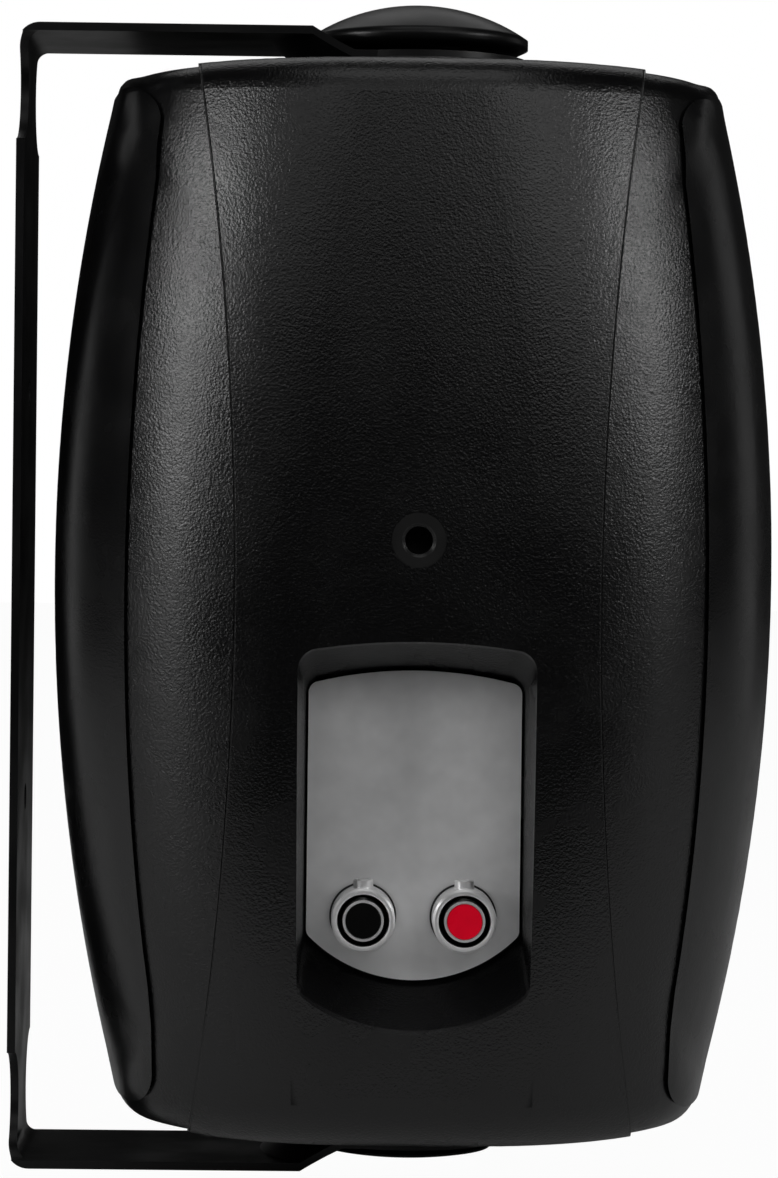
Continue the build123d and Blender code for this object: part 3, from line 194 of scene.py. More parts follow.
@dataclass(frozen=True)
class Finish:
    """A surface with one colour, a gloss that varies a little, and a grain."""

    name: str
    colour: Colour
    roughness: float
    metallic: float = 0.0
    grain: Grain = Grain.ORANGE_PEEL
    grain_size: float = 0.8 * MM
    grain_depth: float = 0.004 * MM
    gloss_spread: float = 0.06
    tint_spread: float = 0.12
    cloud_size: float = 18 * MM
    coat: float = 0.0
    sheen: float = 0.0
    specular: float = 0.5

    @cache
    def material(self) -> bpy.types.Material:
        """Make the finish's material, once.

        Returns:
            A principled material with the finish's colour, gloss and relief.
        """
        surface = Surface(self.name)
        surface.set(Metallic=self.metallic, Coat_Weight=self.coat, Sheen_Weight=self.sheen)
        surface.set(Specular_IOR_Level=self.specular)
        clouds = surface.noise(self.cloud_size, 3.0)
        bright, dull = self.roughness - self.gloss_spread, self.roughness + self.gloss_spread
        surface.feed("Roughness", surface.between(clouds, CLOUD_SPAN, bright, dull))
        surface.feed("Base Color", self.tone(surface))
        surface.bump(self.relief(surface), self.grain_depth)
        return surface.material

    def tone(self, surface: Surface) -> Socket:
        """Return the colour, which clouds over a little from place to place."""
        tint = surface.noise(self.cloud_size / 3, 2.0)
        darker, lighter = (shade(self.colour, share) for share in (-self.tint_spread, self.tint_spread))
        return surface.blend(tint, darker, lighter)

    def relief(self, surface: Surface) -> Socket:
        """Return the grain's height field."""
        if self.grain is Grain.LEATHER:
            pores = surface.noise(self.grain_size * PORE_SHARE, 2.0)
            return surface.math("ADD", surface.pebbles(self.grain_size), pores)
        if self.grain is Grain.FIBRE:
            return surface.noise(self.grain_size, STRAND_DETAIL, surface.stretched(STRANDS))
        if self.grain is Grain.TURNED:
            return surface.noise(self.grain_size, 1.0, surface.stretched(LATHE_MARKS))
        return surface.noise(self.grain_size, 2.0)


@dataclass(frozen=True)
class CabinetPlastic(Finish):
    """Satin moulded plastic: a leather grain on the back, smoother cheeks, and weaker reflections in the
    terminal recess as painted shade.
    """

    pad_half: float = 68 * MM
    pad_radius: float = 757 * MM
    cheek_share: float = 0.3
    band_half: float = 42 * MM
    band_radius: float = 784 * MM
    seam_half: float = 0.3 * MM
    seam_depth: float = 0.2 * MM
    seam_start: tuple[float, float] = (30 * MM, 40 * MM)
    grain_start: tuple[float, float] = (20 * MM, 50 * MM)
    crown_half: float = 52 * MM
    crown_rise: float = 2.6 * MM
    cup_half: float = 28 * MM
    cup_middle: float = -60 * MM
    cup_half_height: float = 56 * MM
    cup_mouth: float = 76.8 * MM
    cup_edge: tuple[float, float] = (-0.3 * MM, 0.1 * MM)
    # Specular level inside the terminal recess, lowered as painted shade.
    recess_shade_gloss: float = 0.16
    rear_radius: float = 900 * MM

    def tone(self, surface: Surface) -> Socket:
        """Return the colour, and weaken the reflections on the walls of the terminal recess as painted shade.
        """
        split = surface.parts()
        past_side = surface.math("SUBTRACT", surface.gap(split["X"], SWIVEL_X), self.cup_half)
        past_end = surface.math("SUBTRACT", surface.gap(split["Z"], self.cup_middle), self.cup_half_height)
        bulge = surface.fallen(split["Z"], self.rear_radius)
        past_mouth = surface.math("SUBTRACT", surface.math("ADD", split["Y"], bulge), self.cup_mouth)
        past = surface.math("MAXIMUM", surface.math("MAXIMUM", past_side, past_end), past_mouth)
        # Painted shade: a lower specular level inside the terminal recess darkens its walls.
        gloss = surface.between(past, self.cup_edge, self.recess_shade_gloss, self.specular)
        surface.feed("Specular IOR Level", gloss)
        return super().tone(surface)

    def relief(self, surface: Surface) -> Socket:
        """Return the leather grain, fainter on the cheeks, on a crowned back with a seam by its band."""
        split = surface.parts()
        reach = surface.gap(split["X"], SWIVEL_X)
        past_line = surface.math("ADD", reach, surface.fallen(split["Z"], self.pad_radius))
        on_pad = surface.between(past_line, (self.pad_half - MM, self.pad_half + MM), 1.0, self.cheek_share)
        on_back = surface.between(split["Y"], self.grain_start, self.cheek_share, 1.0)
        grain = surface.math("MULTIPLY", super().relief(surface), surface.math("MULTIPLY", on_pad, on_back))
        seam = surface.math("ADD", surface.fallen(split["Z"], self.band_radius), self.band_half)
        depth = self.seam_depth / self.grain_depth
        groove = surface.between(surface.gap(reach, seam), (0.0, self.seam_half), depth, 0.0)
        at_rear = surface.between(split["Y"], self.seam_start, 0.0, 1.0)
        grain = surface.math("SUBTRACT", grain, surface.math("MULTIPLY", groove, at_rear))
        along = surface.math("MINIMUM", reach, self.crown_half)
        wave = surface.math("COSINE", surface.math("MULTIPLY", along, math.pi / self.crown_half))
        crown = surface.math("MULTIPLY", wave, self.crown_rise / self.grain_depth / 2)
        return surface.math("ADD", grain, crown)


@dataclass(frozen=True)
class SleeveChromeWithBoreShade(Finish):
    """Plating that is bright outside the terminals, with a dark colour painted as shade in the bore round
    each push cap.
    """

    apart: float = 11.7 * MM
    axis_z: float = -72.8 * MM
    bore: float = 6.05 * MM
    bore_edge: float = 0.05 * MM
    # Painted shade colour for the bore round each push cap.
    dark: Colour = (0.006, 0.006, 0.006)

    def tone(self, surface: Surface) -> Socket:
        """Return the plating's colour, with painted shade inside the bore, by the distance from either
        terminal's axis.
        """
        split = surface.parts()
        across = surface.math("SUBTRACT", surface.gap(split["X"], SWIVEL_X), self.apart)
        rise = surface.math("SUBTRACT", split["Z"], self.axis_z)
        squares = [surface.math("MULTIPLY", side, side) for side in (across, rise)]
        away = surface.math("SQRT", surface.math("ADD", *squares))
        # Inside the bore radius the colour is the painted shade.
        outside = surface.between(away, (self.bore - self.bore_edge, self.bore), 0.0, 1.0)
        return surface.blend(outside, self.dark, self.colour)


@dataclass(frozen=True)
class BrushedPlate(Finish):
    """Metal sheet brushed along the cabinet's width."""

    streak: float = 60.0

    def relief(self, surface: Surface) -> Socket:
        """Return fine parallel brush marks."""
        return surface.noise(self.grain_size, 2.0, surface.stretched((1 / self.streak, 1.0, 1.0)))


@dataclass(frozen=True)
class WovenCloth(Finish):
    """Resin-dipped cloth with a plain weave."""

    def relief(self, surface: Surface) -> Socket:
        """Return crossed threads."""
        split = surface.parts()
        turns = 2 * math.pi / self.grain_size
        warp = surface.math("SINE", surface.math("MULTIPLY", split["X"], turns))
        weft = surface.math("SINE", surface.math("MULTIPLY", split["Z"], turns))
        return surface.math("MULTIPLY", warp, weft)


@dataclass(frozen=True)
class Winding(Finish):
    """Enamelled wire wound in close turns along the front-to-back axis."""

    def relief(self, surface: Surface) -> Socket:
        """Return round ridges, one for each turn of wire."""
        split = surface.parts()
        phase = surface.math("MULTIPLY", split["Y"], math.pi / self.grain_size)
        return surface.math("ABSOLUTE", surface.math("SINE", phase))


CABINET = CabinetPlastic("cabinet_plastic", (0.0022, 0.0022, 0.0024), 0.26, grain=Grain.LEATHER,
                         grain_size=0.6 * MM, grain_depth=0.07 * MM, gloss_spread=0.03)
PAINT = Finish("bracket_paint", (0.003, 0.003, 0.0032), 0.36, grain_size=0.7 * MM, grain_depth=0.012 * MM,
               specular=0.3)
KNOB = Finish("knob_plastic", (0.004, 0.004, 0.0042), 0.33, grain_size=0.5 * MM, grain_depth=0.008 * MM,
              specular=0.25)
NYLON = Finish("washer_nylon", (0.012, 0.012, 0.012), 0.45, grain_size=0.6 * MM)
BRASS = Finish("insert_brass", (0.72, 0.52, 0.22), 0.32, 1.0, Grain.TURNED, 0.15 * MM, 0.004 * MM)
BLACKENED = Finish("insert_blackened", (0.012, 0.012, 0.012), 0.3, 0.0, Grain.TURNED, 0.15 * MM, 0.006 * MM)
ZINC = Finish("zinc_steel", (0.58, 0.58, 0.56), 0.3, 1.0, Grain.TURNED, 0.2 * MM, 0.004 * MM)
BLACK_SCREW = Finish("black_screws", (0.02, 0.02, 0.021), 0.38, 0.6, grain_size=0.3 * MM)
PLATE = BrushedPlate("plate_metal", (0.86, 0.86, 0.865), 0.5, 0.35, grain_size=0.12 * MM,
                     grain_depth=0.006 * MM)
PLATING = ((0.97, 0.97, 0.975), 0.34, 0.7, Grain.TURNED, 0.1 * MM, 0.002 * MM, 0.04)
SLEEVE = SleeveChromeWithBoreShade("sleeve_chrome", *PLATING)
CHROME = Finish("terminal_chrome", *PLATING)
INLAY_BLACK = Finish("inlay_black", (0.003, 0.003, 0.003), 0.3, grain_size=0.4 * MM, specular=0.12)
INLAY_RED = Finish("inlay_red", (0.9, 0.003, 0.025), 0.3, grain_size=0.4 * MM, specular=0.12)
BUSH = Finish("bush_plastic", (0.015, 0.015, 0.015), 0.42, grain_size=0.5 * MM)
SPRING = Finish("spring_steel", (0.5, 0.5, 0.5), 0.28, 1.0, grain_size=0.1 * MM, grain_depth=0.001 * MM)
FOAM = Finish("gasket_foam", (0.03, 0.03, 0.03), 0.95, grain=Grain.LEATHER, grain_size=0.5 * MM,
              grain_depth=0.12 * MM)
BAFFLE = Finish("baffle_plastic", (0.012, 0.012, 0.0125), 0.5, grain=Grain.LEATHER, grain_size=0.7 * MM,
                grain_depth=0.03 * MM)
GRILLE = Finish("grille_paint", (0.011, 0.011, 0.0115), 0.42, grain_size=0.4 * MM, grain_depth=0.01 * MM)
BASKET = Finish("basket_paint", (0.02, 0.02, 0.021), 0.45, 0.3, grain_size=0.6 * MM, grain_depth=0.01 * MM)
STEEL = Finish("motor_steel", (0.42, 0.42, 0.43), 0.35, 1.0, Grain.TURNED, 0.2 * MM, 0.005 * MM)
FERRITE = Finish("ferrite", (0.045, 0.045, 0.047), 0.62, grain_size=0.5 * MM, grain_depth=0.02 * MM)
CONE = Finish("cone_polymer", (0.022, 0.022, 0.024), 0.36, grain=Grain.FIBRE, grain_size=0.6 * MM,
              grain_depth=0.02 * MM, coat=0.15)
RUBBER = Finish("surround_rubber", (0.018, 0.018, 0.018), 0.6, grain_size=0.4 * MM, grain_depth=0.006 * MM)
SPIDER = WovenCloth("spider_cloth", (0.55, 0.36, 0.1), 0.8, grain_size=0.8 * MM, grain_depth=0.12 * MM,
                    sheen=0.3)
COPPER = Winding("coil_copper", (0.62, 0.25, 0.09), 0.28, 0.9, grain_size=0.5 * MM, grain_depth=0.18 * MM)
SILK = WovenCloth("dome_silk", (0.03, 0.03, 0.032), 0.62, grain_size=0.25 * MM, grain_depth=0.02 * MM,
                  sheen=0.4)
LAMINATE = Finish("board_laminate", (0.03, 0.13, 0.05), 0.35, grain_size=0.6 * MM, grain_depth=0.01 * MM,
                  coat=0.4)
FILM = Finish("capacitor_film", (0.5, 0.34, 0.03), 0.3, grain_size=0.8 * MM, coat=0.3)
CERAMIC = Finish("resistor_ceramic", (0.72, 0.7, 0.66), 0.75, grain_size=0.3 * MM, grain_depth=0.02 * MM)
WOOL = Finish("damping_wool", (0.7, 0.7, 0.68), 0.95, grain=Grain.FIBRE, grain_size=1.2 * MM,
              grain_depth=0.5 * MM, sheen=0.5)


def paint(mesh: bpy.types.Mesh, finish: Finish) -> None:
    """Give a mesh one finish."""
    mesh.materials.clear()
    mesh.materials.append(finish.material())


def dress(finish: Finish, *nodes: str) -> None:
    """Give CAD nodes their finish."""
    for node in nodes:
        paint(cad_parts[node].data, finish)
        log.info("%s dressed in %s", node, finish.name)


def copy_of(node: str, finish: Finish) -> bpy.types.Mesh:
    """Return a copy of a CAD node's mesh, in that finish."""
    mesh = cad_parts[node].data.copy()
    paint(mesh, finish)
    return mesh


def stand(name: str, data: bpy.types.ID) -> bpy.types.Object:
    """Put a mesh, curve, light or camera in the scene and return its object."""
    item = bpy.data.objects.new(name, data)
    bpy.context.scene.collection.objects.link(item)
    return item


def add_piece(name: str, mesh: bpy.types.Mesh, body: str,
              replaced: Sequence[str] = ()) -> bpy.types.Object:
    """Add a finished mesh to the object.

    Args:
        name: The piece's name.
        mesh: Its mesh, in place in the row frame.
        body: The CAD body that it rides on.
        replaced: CAD nodes that it stands for.

    Returns:
        The new object.
    """
    mesh.name = name
    piece = stand(name, mesh)
    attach(piece, body)
    if replaced:
        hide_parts(*replaced)
    log.info("%s: %d faces", name, len(mesh.polygons))
    return piece


class Recipe(Tree):
    """A Geometry Nodes tree under construction, with named inputs for its sizes."""

    def __init__(self, name: str) -> None:
        """Start a tree with a geometry input and a geometry output."""
        self.group = bpy.data.node_groups.new(name, "GeometryNodeTree")
        super().__init__(self.group)
        self.sockets: dict[str, str] = {}
        self.group.interface.new_socket("Geometry", in_out="INPUT", socket_type="NodeSocketGeometry")
        self.group.interface.new_socket("Geometry", in_out="OUTPUT", socket_type="NodeSocketGeometry")
        self.source = self.nodes.new("NodeGroupInput")
        self.sink = self.nodes.new("NodeGroupOutput")

    @property
    def carried(self) -> Socket:
        """The geometry that the tree is given."""
        return self.source.outputs["Geometry"]

    def size(self, name: str, kind: str = "Float") -> Socket:
        """Add a named input and return its socket inside the tree."""
        made = self.group.interface.new_socket(name, in_out="INPUT", socket_type=f"NodeSocket{kind}")
        self.sockets[name] = made.identifier
        return self.source.outputs[name]

    def add(self, kind: str, inputs: dict[str | int, Any], **settings: Any) -> bpy.types.Node:
        """Add a node.

        Args:
            kind: The node's type name, which for a geometry node leaves out the common beginning.
            inputs: Values or output sockets, by input name or index.
            settings: The node's own properties.

        Returns:
            The new node.
        """
        prefix = "" if kind.startswith(("ShaderNode", "FunctionNode")) else "GeometryNode"
        return super().add(prefix + kind, inputs, **settings)

    def compare(self, operation: str, first: Any, second: Any) -> Socket:
        """Return whether two values compare that way."""
        return self.add("FunctionNodeCompare", {0: first, 1: second}, operation=operation).outputs[0]

    def logic(self, operation: str, first: Any, second: Any) -> Socket:
        """Return what two tests give together."""
        return self.add("FunctionNodeBooleanMath", {0: first, 1: second}, operation=operation).outputs[0]

    def distance(self, target: Socket, element: str) -> Socket:
        """Return each point's distance from a geometry's edges or faces."""
        return self.add("Proximity", {0: target}, target_element=element).outputs["Distance"]

    def joined(self, *parts: Socket) -> Socket:
        """Return several geometries as one."""
        join = self.add("JoinGeometry", {})
        for part in parts:
            self.links.new(part, join.inputs[0])
        return join.outputs[0]

    def vector(self, x: Any = 0.0, y: Any = 0.0, z: Any = 0.0) -> Socket:
        """Return a vector made of three values."""
        return self.add("ShaderNodeCombineXYZ", {0: x, 1: y, 2: z}).outputs[0]

    def position(self) -> dict[str, Socket]:
        """Return the parts of each point's position."""
        place = self.add("InputPosition", {}).outputs[0]
        return self.add("ShaderNodeSeparateXYZ", {0: place}).outputs

    def close(self, geometry: Socket, material: bpy.types.Material) -> None:
        """End the tree in realized instances with one material."""
        real = self.add("RealizeInstances", {0: geometry}).outputs[0]
        painted = self.add("SetMaterial", {"Geometry": real, "Material": material}).outputs[0]
        self.links.new(painted, self.sink.inputs[0])

    def cook(self, carrier: bpy.types.ID, sizes: dict[str, Any]) -> bpy.types.Mesh:
        """Run the tree.

        Args:
            carrier: The mesh or curve data that the tree is given.
            sizes: Values for the named inputs.

        Returns:
            The result as a plain mesh.
        """
        holder = stand(self.group.name, carrier)
        modifier = holder.modifiers.new(self.group.name, "NODES")
        modifier.node_group = self.group
        for name, value in sizes.items():
            modifier[self.sockets[name]] = value
        depsgraph = bpy.context.evaluated_depsgraph_get()
        mesh = bpy.data.meshes.new_from_object(holder.evaluated_get(depsgraph))
        holder.modifiers.remove(modifier)
        bpy.data.objects.remove(holder)
        return mesh


def outline_curve(name: str, points: Sequence[tuple[float, float]]) -> bpy.types.Curve:
    """Return a closed flat curve through the points."""
    curve = bpy.data.curves.new(name, "CURVE")
    curve.dimensions = "3D"
    spline = curve.splines.new("POLY")
    spline.points.add(len(points) - 1)
    for target, (x, y) in zip(spline.points, points):
        target.co = (x, y, 0.0, 1.0)
    spline.use_cyclic_u = True
    return curve


def seal(mesh: bpy.types.Mesh, gap: float = 0.002 * MM) -> None:
    """Merge a mesh's doubled points and turn its faces outwards."""
    work = bmesh.new()
    work.from_mesh(mesh)
    bmesh.ops.remove_doubles(work, verts=work.verts, dist=gap)
    bmesh.ops.recalc_face_normals(work, faces=work.faces)
    work.to_mesh(mesh)
    work.free()


def absorb(mesh: bpy.types.Mesh, other: bpy.types.Mesh) -> None:
    """Add another mesh's points and faces to a mesh."""
    work = bmesh.new()
    work.from_mesh(mesh)
    work.from_mesh(other)
    work.to_mesh(mesh)
    work.free()


def smooth(mesh: bpy.types.Mesh, angle: float = 30.0) -> None:
    """Shade a mesh smooth, apart from edges sharper than the angle in degrees."""
    mesh.shade_smooth()
    mesh.set_sharp_from_angle(angle=math.radians(angle))


def turned(name: str, profile: Sequence[tuple[float, float]], sides: int = 24) -> bpy.types.Mesh:
    """Return a solid of revolution about Z.

    Args:
        name: The mesh's name.
        profile: Radius and height along the half-section, from one end of the axis to the other.
        sides: Flats round the solid.

    Returns:
        A closed mesh with its faces outwards.
    """
    points: list[tuple[float, float, float]] = []
    rings: list[range] = []
    for radius, height in profile:
        count = sides if radius > 0 else 1
        rings.append(range(len(points), len(points) + count))
        angles = [2 * math.pi * i / sides for i in range(count)]
        points += [(radius * math.cos(angle), radius * math.sin(angle), height) for angle in angles]
    faces = []
    for near, far in zip(rings, rings[1:]):
        for i in range(sides):
            (a, b), (d, c) = ((ring[i % len(ring)], ring[(i + 1) % len(ring)]) for ring in (near, far))
            faces.append(tuple(dict.fromkeys((a, b, c, d))))
    mesh = bpy.data.meshes.new(name)
    mesh.from_pydata(points, [], faces)
    seal(mesh)
    return mesh


TOUCHING = 0.001 * MM
SORT_DIGITS = 5


def solids_of(node: str) -> list[tuple[Vector, Vector]]:
    """Return the boxes of a CAD node's separate solids.

    Args:
        node: The node's name.

    Returns:
        The lowest and highest corner of each solid at rest, in order of place.
    """
    work = bmesh.new()
    work.from_mesh(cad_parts[node].data)
    bmesh.ops.remove_doubles(work, verts=work.verts, dist=TOUCHING)
    left = set(work.verts)
    boxes = []
    while left:
        edge_of_group, group = [left.pop()], []
        while edge_of_group:
            vertex = edge_of_group.pop()
            group.append(vertex.co.copy())
            for other in (edge.other_vert(vertex) for edge in vertex.link_edges):
                if other in left:
                    left.remove(other)
                    edge_of_group.append(other)
        axes = list(zip(*group))
        boxes.append((Vector([min(axis) for axis in axes]), Vector([max(axis) for axis in axes])))
    work.free()
    return sorted(boxes, key=lambda box: (round(box[0].x, SORT_DIGITS), round(box[0].z, SORT_DIGITS)))


class Facing(Enum):
    """Which way a turned or wound piece's upper end points, as a turn about X from upright."""

    FRONT = 90
    REAR = -90

    def turn(self) -> Matrix:
        """Return the turn as a matrix."""
        return Matrix.Rotation(math.radians(self.value), 4, "X")


@dataclass
class Helix:
    """Wire or thread wound round Z."""

    name: str
    radius: float
    wire: float
    wire_sides: int
    finish: Finish
    steps: int = 22

    def recipe(self) -> Recipe:
        """Return the tree that sweeps a small ring along a spiral."""
        tree = Recipe(f"{self.name}_helix")
        radius, wire = tree.size("Radius"), tree.size("Wire Radius")
        rise, turns = tree.size("Rise"), tree.size("Turns")
        spiral = tree.add("CurveSpiral", {
            "Resolution": self.steps, "Rotations": turns, "Start Radius": radius, "End Radius": radius,
            "Height": rise}).outputs[0]
        ring = tree.add("CurvePrimitiveCircle", {"Resolution": self.wire_sides, "Radius": wire}).outputs[0]
        swept = tree.add("CurveToMesh", {0: spiral, 1: ring, "Fill Caps": True}).outputs[0]
        tree.close(swept, self.finish.material())
        return tree

    def wind(self, rise: float, turns: float) -> bpy.types.Mesh:
        """Return the helix.

        Args:
            rise: Its length along Z, from zero.
            turns: How often it goes round.

        Returns:
            A closed tube.
        """
        mesh = self.recipe().cook(bpy.data.meshes.new(self.name), {
            "Radius": self.radius, "Wire Radius": self.wire, "Rise": rise, "Turns": turns})
        seal(mesh)
        return mesh


PAN_HEAD = ((0.0, 1.0), (0.35, 0.99), (0.66, 0.9), (0.88, 0.68), (0.98, 0.4), (1.0, 0.16), (1.0, 0.0))


@dataclass
class Screws:
    """Pan-head screws with a cross recess, heads to the front, one on each solid of their CAD node."""

    node: str
    slot: str
    finish: Finish
    head_height: float = 2.2 * MM
    shank: float = 1.8 * MM
    pitch: float = 1.3 * MM
    core_share: float = 0.74
    flank_share: float = 0.25
    sides: int = 20
    recess_reach: float = 1.15
    recess_width: float = 0.26
    recess_depth: float = 0.6
    crease: float = 40.0
    seed: int = 3

    def blank(self, head: float, length: float) -> bpy.types.Mesh:
        """Return one screw without its recess, standing on its head's seat.

        Args:
            head: Radius of the head.
            length: From the seat to the point.

        Returns:
            The screw about Z, with its thread as rings.
        """
        crest, core, flank = self.shank, self.shank * self.core_share, self.pitch * self.flank_share
        profile = [(wide * head, high * self.head_height) for wide, high in PAN_HEAD]
        profile.append((crest, 0.0))
        depth = self.pitch
        while depth < length - 2 * self.pitch:
            profile += [(core, -depth), (crest, -depth - flank), (core, -depth - 2 * flank)]
            depth += self.pitch
        profile += [(core, -depth), (0.0, -length)]
        return turned(f"{self.node}_blank", profile, self.sides)

    def recipe(self) -> Recipe:
        """Return the tree that cuts the cross recess and stands a screw on every point, turned at random."""
        tree = Recipe(f"{self.node}_pattern")
        blank, top = tree.size("Blank", "Object"), tree.size("Head Top")
        reach, width, depth = (tree.size(f"Recess {side}") for side in ("Reach", "Width", "Depth"))
        tilt, seed = tree.size("Tilt"), tree.size("Seed", "Int")
        shape = tree.add("ObjectInfo", {"Object": blank}).outputs["Geometry"]
        tall = tree.math("MULTIPLY", depth, 2.0)
        raised = tree.vector(0.0, 0.0, top)
        slots = []
        for size in (tree.vector(reach, width, tall), tree.vector(width, reach, tall)):
            slot = tree.add("MeshCube", {"Size": size}).outputs[0]
            slots.append(tree.add("Transform", {"Geometry": slot, "Translation": raised}).outputs[0])
        cut = tree.add("MeshBoolean", {0: shape, 1: tree.joined(*slots), "Self Intersection": True},
                       operation="DIFFERENCE", solver="EXACT").outputs[0]
        spin = tree.add("FunctionNodeRandomValue", {2: 0.0, 3: math.pi, "Seed": seed}).outputs[1]
        stood = tree.add("InstanceOnPoints", {"Points": tree.carried, "Instance": cut,
                                              "Rotation": tree.vector(tilt, spin, 0.0)}).outputs[0]
        tree.close(stood, self.finish.material())
        return tree

    def build(self) -> None:
        """Make the screws and let them stand for the plain CAD ones."""
        boxes = solids_of(self.node)
        low, high = boxes[0]
        head, length = (high.x - low.x) / 2, high.y - low.y - self.head_height
        seats = [((a.x + b.x) / 2, a.y + self.head_height, (a.z + b.z) / 2) for a, b in boxes]
        points = bpy.data.meshes.new(f"{self.node}_seats")
        points.from_pydata(seats, [], [])
        blank = stand(f"{self.node}_blank", self.blank(head, length))
        mesh = self.recipe().cook(points, {
            "Blank": blank, "Head Top": self.head_height, "Recess Reach": self.recess_reach * head,
            "Recess Width": self.recess_width * head, "Recess Depth": self.recess_depth * self.head_height,
            "Tilt": math.radians(Facing.FRONT.value), "Seed": self.seed})
        bpy.data.objects.remove(blank)
        smooth(mesh, self.crease)
        add_piece(f"{self.node}_crossed", mesh, "cabinet", [self.node])


@dataclass
class Barrel:
    """The cabinet's barrel outline, seen from the front, at the CAD model's sizes."""

    centre_x: float = SWIVEL_X
    width: float = 174 * MM
    height: float = 254 * MM
    side_radius: float = 523 * MM
    side_middle: float = 0.0
    crown_radius: float = 740 * MM
    top_corner: float = 10 * MM
    bottom_corner: float = 15 * MM
    corner_steps: int = 10
    side_steps: int = 60
    crown_steps: int = 40
    settling: int = 40

    @property
    def side_x(self) -> float:
        """X of the right side arc's centre, from the cabinet's middle."""
        return self.width / 2 - self.side_radius

    @property
    def crown_z(self) -> float:
        """Height of the top crown arc's centre."""
        return self.height / 2 - self.crown_radius

    def corner(self, inset: float, middle: float) -> tuple[float, float]:
        """Return where the side arc and the crown arc cross, both drawn in by the inset.

        Args:
            inset: How far the outline is drawn in.
            middle: Height of the side arc's centre in this quarter.

        Returns:
            The crossing in the quarter where both coordinates are positive, from the cabinet's middle.
        """
        x, z = self.width / 2, self.height / 2
        for _ in range(self.settling):
            z = self.crown_z + math.sqrt((self.crown_radius - inset) ** 2 - x * x)
            x = self.side_x + math.sqrt((self.side_radius - inset) ** 2 - (z - middle) ** 2)
        return x, z

    def quarter(self, inset: float, corner: float, middle: float) -> list[tuple[float, float]]:
        """Return a quarter of the outline, from the side's middle to the crown's middle.

        Args:
            inset: How far the outline is drawn in.
            corner: Radius of the cabinet's corner between side and crown, which shrinks with the inset.
            middle: Height of the side arc's centre in this quarter.

        Returns:
            Points from the cabinet's middle, with both coordinates positive.
        """
        round_corner = corner - min(inset, corner / 2)
        x, z = self.corner(inset + round_corner, middle)
        start = math.asin((z - middle) / (self.side_radius - inset - round_corner))
        end = math.acos(x / (self.crown_radius - inset - round_corner))
        side = self.side_radius - inset
        crown = self.crown_radius - inset
        foot = math.asin(-middle / side)
        half_side, half_crown = self.side_steps // 2, self.crown_steps // 2
        points = []
        for i in range(half_side):
            angle = foot + (start - foot) * i / half_side
            points.append((self.side_x + side * math.cos(angle), middle + side * math.sin(angle)))
        for i in range(self.corner_steps + 1):
            angle = start + (end - start) * i / self.corner_steps
            points.append((x + round_corner * math.cos(angle), z + round_corner * math.sin(angle)))
        for i in range(1, half_crown + 1):
            angle = end + (math.pi / 2 - end) * i / half_crown
            points.append((crown * math.cos(angle), self.crown_z + crown * math.sin(angle)))
        return points

    def outline(self, inset: float) -> list[tuple[float, float]]:
        """Return the whole outline.

        Args:
            inset: How far the outline is drawn in.

        Returns:
            Points round the outline, in the row frame's X and Z.
        """
        top = self.quarter(inset, self.top_corner, self.side_middle)
        bottom = self.quarter(inset, self.bottom_corner, -self.side_middle)
        loop = top + [(-x, z) for x, z in reversed(top[:-1])]
        loop += [(-x, -z) for x, z in bottom[1:]] + [(x, -z) for x, z in reversed(bottom[1:-1])]
        return [(self.centre_x + x, z) for x, z in loop]


@dataclass
class ShownBarrel(Barrel):
    """The CAD barrel carried over to the photograph's outline, with fuller corners and flatter ends."""

    target: Barrel = field(default_factory=lambda: Barrel(
        width=173.9 * MM, side_radius=512 * MM, side_middle=6.5 * MM, crown_radius=4000 * MM,
        top_corner=4 * MM, bottom_corner=9 * MM))
    still: float = 0.72
    moved: float = 0.93

    def __post_init__(self) -> None:
        """Measure both outlines by direction from the cabinet's middle."""
        self.made = self.by_angle(super().outline(0.0))
        self.shown = self.by_angle(self.target.outline(0.0))

    def by_angle(self, points: Sequence[tuple[float, float]]) -> list[tuple[float, float]]:
        """Return the points' angles and distances from the middle in order, closed past both ends."""
        offsets = [(x - self.centre_x, z) for x, z in points]
        polar = sorted((math.atan2(z, across), math.hypot(across, z)) for across, z in offsets)
        (first, near), (last, far) = polar[0], polar[-1]
        return [(last - 2 * math.pi, far), *polar, (first + 2 * math.pi, near)]

    @staticmethod
    def reach(outline: Sequence[tuple[float, float]], angle: float) -> float:
        """Return an outline's distance from the middle at an angle."""
        after = bisect(outline, (angle, math.inf))
        (start, near), (end, far) = outline[after - 1], outline[after]
        return near + (far - near) * (angle - start) / (end - start)

    def carry(self, x: float, z: float) -> tuple[float, float]:
        """Return where a CAD point lies on the shown barrel. What is well inside stays in place.

        Args:
            x: The point's X in the row frame.
            z: The point's Z.

        Returns:
            The new X and Z.
        """
        across = x - self.centre_x
        angle = math.atan2(z, across)
        made = self.reach(self.made, angle)
        share = (math.hypot(across, z) / made - self.still) / (self.moved - self.still)
        share = max(0.0, min(1.0, share))
        grow = 1 + share * share * (3 - 2 * share) * (self.reach(self.shown, angle) / made - 1)
        return self.centre_x + across * grow, z * grow

    def outline(self, inset: float) -> list[tuple[float, float]]:
        """Return the whole outline, drawn in by the inset and carried over."""
        plain = super().outline(inset)
        return [self.carry(x, z) for x, z in plain]


